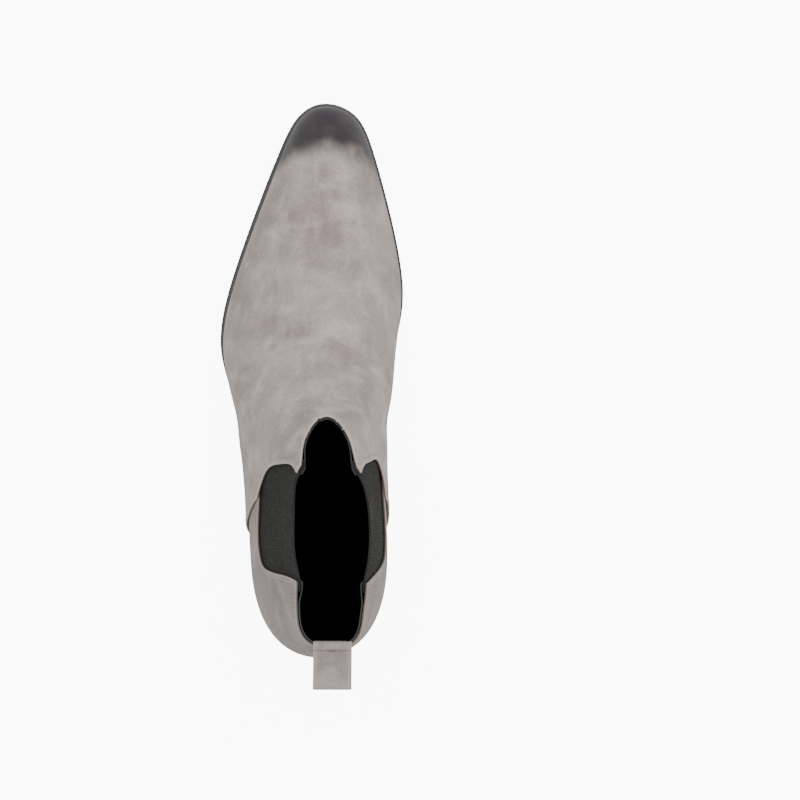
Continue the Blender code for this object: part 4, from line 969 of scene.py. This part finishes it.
# ---- Lining -----------------------------------------------------------------------------------
# Smooth black leather in a front and a back piece, closed at the sides under the gores.  Along
# the topline it lies right against the suede; lower down it passes under the elastic's margin.
LINING_FROM = SUEDE + STIFFENER + 2 * GAP
LINING_TO = LINING_FROM + LINING
LINING_STEP = 1.2
LINING_SEAM = 72.0
LINING_ROUNDING = 0.35
TOP_BAND = 13.0             # how far down from the edge the lining lies against the suede
BAND_FADE = 7.0
ELASTIC_CLEAR = 3.0         # from the elastic's window to where the lining starts to rise
ELASTIC_FADE = 11.0
# Black leather, painted far darker than black leather is and used with no specular: the leather's own black
# and painted shade of the boot's deep inside.
BLACK_AND_PAINTED_SHADE = ((0.0005, 0.0005, 0.0005), (0.0011, 0.0011, 0.0011))

lining_leather = grained_leather("black_lining_leather", *BLACK_AND_PAINTED_SHADE, 0.6, 0.00004, Specular_IOR_Level=0.0)
tree = lining_leather.node_tree
shader = tree.nodes["Principled BSDF"]
# The lining's bare edge is painted a lighter blue-grey: a painted highlight where light glances off the edge
# of the black leather.
from_edge = add_node(tree, "ShaderNodeAttribute", attribute_name="from_edge").outputs["Fac"]
inner_face = shader.inputs["Base Color"].links[0].from_socket
tree.links.new(mix_colour(tree, ramp(tree, from_edge, 0.5, 0.1), inner_face, (0.045, 0.048, 0.05, 1)),
               shader.inputs["Base Color"])


def close_under(edge, gore_edges):
    """How far the lining stands out towards the suede: near the bare edge, away from the elastic."""
    edge_points = surface(*edge.T).T[::2]
    gore_points = surface(*np.vstack(list(gore_edges)).T).T[::2]

    def lift(points):
        """The rise at each point."""
        near = smooth_step((TOP_BAND - distance_to(points, edge_points)) / BAND_FADE)
        free = smooth_step((distance_to(points, gore_points) - ELASTIC_CLEAR) / ELASTIC_FADE)
        return (STIFFENER + GAP * 0.8) * near * free

    return lift


backs = {}
for word in SIDES:
    line = smooth_line(GORE_BACK[word])
    backs[word] = on_side(word, line[line[:, 1] < 155.5], (0.6, 0.9))


def lining_side(word, step_y, to_front):
    """The closing seam up from the sole and the bottom of the window from it, forward or back."""
    window = smooth_line(WINDOW_FOOT[:2] + GORE_BACK[word][:1], 0.5)
    seam_y = LINING_SEAM + step_y
    seam = np.column_stack([np.full(30, seam_y), np.linspace(sole_top(seam_y) + 2, 83.5, 30)])
    foot = window[window[:, 0] > seam_y][::-1] if to_front else window[window[:, 0] < seam_y]
    return up_from_foot(on_side(word, seam, (0.55, 0.85)), on_side(word, foot, (0.55, 0.85)))


front_lateral, front_medial = (np.vstack([lining_side(word, 0, True), fronts[word]]) for word in SIDES)
foot = along_foot(front_medial[0, 0], front_lateral[0, 0], 400)
outline = drawn_outline([front_lateral, scoop_edge, front_medial[::-1], foot], LINING_STEP)
points, faces, marks = cut_panel(outline, vamp_chart, 201, np.linspace(NET_FOOT, 0.999, 48), LINING_FROM,
                                 LINING_TO, close_under(scoop_edge, fronts.values()), LINING_ROUNDING)
vamp_lining = make_piece("vamp_lining_leather", points, faces, lining_leather,
                         attributes=marks)
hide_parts("vamp_lining")

back_lateral, back_medial = (np.vstack([lining_side(word, -0.4, False), backs[word]]) for word in SIDES)
back_medial = back_medial + (2, 0)
topline = along_topline(back_lateral[-1, 0] + 0.002, back_medial[-1, 0] - 0.002, 160)
foot = along_foot(back_medial[0, 0], back_lateral[0, 0], 300)
outline = drawn_outline([back_lateral, topline, back_medial[::-1], foot], LINING_STEP)
points, faces, marks = cut_panel(outline, side_chart, 161, np.linspace(NET_FOOT, 0.96, 75), LINING_FROM,
                                 LINING_TO, close_under(topline, backs.values()), LINING_ROUNDING)
quarter_lining = make_piece("quarter_lining_leather", points, faces, lining_leather,
                            attributes=marks)
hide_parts("quarter_lining")


# ---- Pull tab ---------------------------------------------------------------------------------
# A strap of the suede folded double.  Its end is sewn between suede and lining, it passes over
# the topline, runs out, turns back under itself and ends against the outside of the quarters.
TAB_WIDTH = 20.5
TAB_LENGTH = 24.0
TAB_LAYER = 1.2
TAB_SLIT = 0.8
TAB_RISE = math.radians(35)
TAB_TAIL = 19.0
TAB_SEAM = 1.1              # along the strap from the hinge to the seam that holds its fold
TAB_CORNER = 0.42
# The tab takes the same suede with all its colours darkened: painted shade.
TAB_PAINTED_SHADE = 0.82
fold = frame["joints"][0]["pos_m"]
hinge = np.array([(fold[1] - HEEL_BACK) / MM, fold[2] / MM])
tab_x = fold[0] / MM
out_along = np.array([-math.cos(TAB_RISE), math.sin(TAB_RISE)])
above = np.array([math.sin(TAB_RISE), math.cos(TAB_RISE)])
layer_gap = (TAB_LAYER + TAB_SLIT) / 2
run = TAB_LENGTH - layer_gap - TAB_LAYER / 2

heights = np.linspace(0.5, 0.95, 200)
back_line = surface(1.0, heights) - outward(1.0, heights)[0] * (SUEDE + GAP + STIFFENER / 2)
edge_z = hinge[1] - GAP - TAB_LAYER - TAB_SLIT / 2
tail = back_line[1:].T
tail = tail[(tail[:, 1] > edge_z - TAB_TAIL) & (tail[:, 1] < edge_z - 1)][::6]
over = hinge + ((3.9, -0.8), (2.8, -0.3), (1.5, 0.15))
upper = [hinge + above * layer_gap + out_along * way for way in np.linspace(0.3, run, 12)]
turned_back = [hinge + out_along * (run + layer_gap * math.sin(turn)) + above * layer_gap * math.cos(turn)
               for turn in np.linspace(0.15, 0.85, 7) * math.pi]
lower = [hinge - above * layer_gap + out_along * way for way in np.linspace(run, 0.6, 12)]
strap_line = np.vstack([tail, over, upper, turned_back, lower, [hinge + (0.2, -1.35)]])
arc = np.concatenate([[0], np.cumsum(np.hypot(*np.diff(strap_line, axis=0).T))])
at = np.linspace(0, arc[-1], 260)
strap_line = np.column_stack([spline(arc, strap_line[:, 0], at), spline(arc, strap_line[:, 1], at)])
ahead = np.gradient(strap_line, axis=0)
normal = np.column_stack([-ahead[:, 1], ahead[:, 0]]) / np.hypot(*ahead.T)[:, None]
turn = np.linspace(0, math.pi / 2, 5)
quarter_round = np.column_stack([np.cos(turn), np.sin(turn)]) * TAB_CORNER
half = np.array([TAB_WIDTH / 2, TAB_LAYER / 2]) - TAB_CORNER
flat = np.column_stack([np.linspace(half[0], -half[0], 12)[1:-1], np.full(10, TAB_LAYER / 2)])
section = np.vstack([quarter_round + half, flat, quarter_round[::-1] * (-1, 1) + half * (-1, 1),
                     -quarter_round - half, -flat, quarter_round[::-1] * (1, -1) + half * (1, -1)])
points = np.stack([
    np.broadcast_to(tab_x + section[:, 0], (len(at), len(section))),
    strap_line[:, :1] + normal[:, :1] * section[:, 1],
    strap_line[:, 1:] + normal[:, 1:] * section[:, 1]], -1).reshape(-1, 3)
faces = grid_faces(len(at), len(section), closed=True)
faces += [list(range(len(section)))[::-1], list(range(len(points) - len(section), len(points)))]
side_gap = np.tile(TAB_WIDTH / 2 - np.abs(section[:, 0]), len(at))
# The tab's suede, darkened by painted shade.
tab_suede_painted_shade = suede("tab_suede_painted_shade", 30, (0.3, 0.26, 0.23), TAB_PAINTED_SHADE)
# A dark line across the strap at the seam of its fold, and a spot at its middle by the top of the back seam:
# painted shade in the crease and the notch.
from_seam = np.hypot(*(strap_line - hinge - above * layer_gap - out_along * TAB_SEAM).T)
notch = np.maximum(1.3 - np.hypot(from_seam[:, None] * 0.6, section[None, :, 0]), 0).ravel()
painted_crease_shade = np.clip(np.repeat(np.maximum(1 - from_seam / 0.42, 0), len(section)) + notch, 0, 1)
marks = {"from_edge": side_gap, "above_sole": np.full(len(points), 60.0), "painted_crease_shade": painted_crease_shade}
strap = make_piece("pull_tab_strap", points, faces, tab_suede_painted_shade, body=None, attributes=marks)
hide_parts("pull_tab", "pull_tab_sewn_end")
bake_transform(strap)


# ---- Inside the sole --------------------------------------------------------------------------
# A sock lining of the lining's leather, which reaches out to the lining all round.  The insole
# board, heel pad, steel shank, cork filler, toe puff, heel counter and nails keep their shape.
INSOLE_TOP = LINING_TO + 2 * GAP + 2.2
SOCK_LINING = 1.5
PAD_RISE = 2.7
PAD_FRONT = 104.0
PAD_RAMP = 22.0
SOCK_EASE = 0.1
SOCK_ROUNDING = 0.3


def sock_bottom(y):
    """The sock lining lies on the insole board and climbs over the heel pad."""
    return sole_top(y) + INSOLE_TOP + GAP + PAD_RISE * smooth_step((PAD_FRONT - y) / PAD_RAMP)


def sock_inset(shares):
    """How far the sock lining stands in from the outsole's edge: it reaches the lining at its own
    height, where the upper already bulges out past its foot."""
    columns, heights = (values.ravel() for values in np.meshgrid(shares, np.linspace(0, 0.3, 61)))
    x, y, z = column_point(columns, heights).reshape(3, 61, len(shares))
    feather = around(OUTLINE, 3, 4, shares)
    foot_x, foot_y, out_x, out_y = edge_inset(shares, feather)
    bulge = (x - foot_x) * out_x + (y - foot_y) * out_y
    level = sock_bottom(foot_y)
    reach = [np.interp(level[i], z[:, i], bulge[:, i]) for i in range(len(shares))]
    return feather + LINING_TO + SOCK_EASE - reach


# The sock lining takes the same near-black colours: painted shade of the boot's inside.
sock_leather = grained_leather("black_sock_leather", *BLACK_AND_PAINTED_SHADE, 0.6, 0.00004, Specular_IOR_Level=0.0)
sock = slab("sock_lining_leather", whole, sock_bottom, lambda y: sock_bottom(y) + SOCK_LINING,
            sock_inset, SOCK_ROUNDING, sock_leather)
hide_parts("sock_lining")
tan_leather = grained_leather("insole_board_leather", (0.42, 0.3, 0.18), (0.5, 0.38, 0.25), 0.5, 0.00005)


def mottled(name, colour, other, size, depth, roughness, **sockets):
    """A plain stuff whose colour and surface vary in lumps of one size."""
    material, tree, shader, position = new_material(name, roughness, **sockets)
    lumps = noise(tree, position, size, 3)
    tree.links.new(mix_colour(tree, ramp(tree, lumps, 0.35, 0.65), (*colour, 1), (*other, 1)),
                   shader.inputs["Base Color"])
    relief(tree, shader, lumps, depth)
    return material


inner_stuffs = {
    "insole_board": tan_leather,
    "heel_pad": mottled("grey_foam", (0.2, 0.2, 0.21), (0.3, 0.3, 0.31), 0.8, 0.0001, 0.95),
    "forepart_filler": mottled("cork_filler", (0.42, 0.27, 0.14), (0.2, 0.11, 0.05), 1.6, 0.0003, 0.95),
    "toe_puff": mottled("stiffener_board", (0.6, 0.54, 0.43), (0.68, 0.62, 0.5), 3, 0.00005, 0.8),
    "shank": mottled("spring_steel", (0.5, 0.5, 0.52), (0.3, 0.3, 0.32), 4, 0.00002, 0.35, Metallic=1.0),
}
inner_stuffs["heel_counter"] = inner_stuffs["toe_puff"]
for i in range(5):
    inner_stuffs[f"heel_nail_{i + 1}"] = inner_stuffs["shank"]
for node, material in inner_stuffs.items():
    frame["nodes"][node].data.materials.clear()
    frame["nodes"][node].data.materials.append(material)


# ---- Floor, light and camera ------------------------------------------------------------------
# A pale floor that glows white to the camera alone, one large soft lamp over the toe, and an
# even white sky.  The camera looks straight down on the boot from far off.
FLOOR_GLOW = 9.0
SKY = 0.75
LAMP_WATTS = 110
LAMP_SIZE = 2.2
LENS = 191.5
bpy.ops.mesh.primitive_plane_add(size=12, location=(0, 0, -0.0001))
floor = bpy.context.object
floor.name = "floor"
floor_material, tree, shader, _ = new_material("pale_floor", 0.9)
shader.inputs["Base Color"].default_value = (0.86, 0.86, 0.86, 1)
seen = add_node(tree, "ShaderNodeLightPath").outputs["Is Camera Ray"]
tree.links.new(math_node(tree, "MULTIPLY", seen, FLOOR_GLOW), shader.inputs["Emission Strength"])
shader.inputs["Emission Color"].default_value = (1, 1, 1, 1)
floor.data.materials.append(floor_material)

world = bpy.data.worlds.new("studio")
world.use_nodes = True
world.node_tree.nodes["Background"].inputs["Color"].default_value = (1, 1, 1, 1)
world.node_tree.nodes["Background"].inputs["Strength"].default_value = SKY
bpy.context.scene.world = world
lamp = bpy.data.objects.new("softbox", bpy.data.lights.new("softbox", "AREA"))
lamp.data.size = LAMP_SIZE
lamp.data.energy = LAMP_WATTS
lamp.location = (0.2, 0.7, 3.0)
bpy.context.scene.collection.objects.link(lamp)
lamp.rotation_euler = (Vector((0, 0.1, 0)) - lamp.location).to_track_quat("-Z", "Y").to_euler()

camera = bpy.data.objects.new("camera", bpy.data.cameras.new("camera"))
camera.data.lens = LENS
camera.data.sensor_width = 36
camera.location = (0.0457, 0.1102, 2.4)
bpy.context.scene.collection.objects.link(camera)
bpy.context.scene.camera = camera
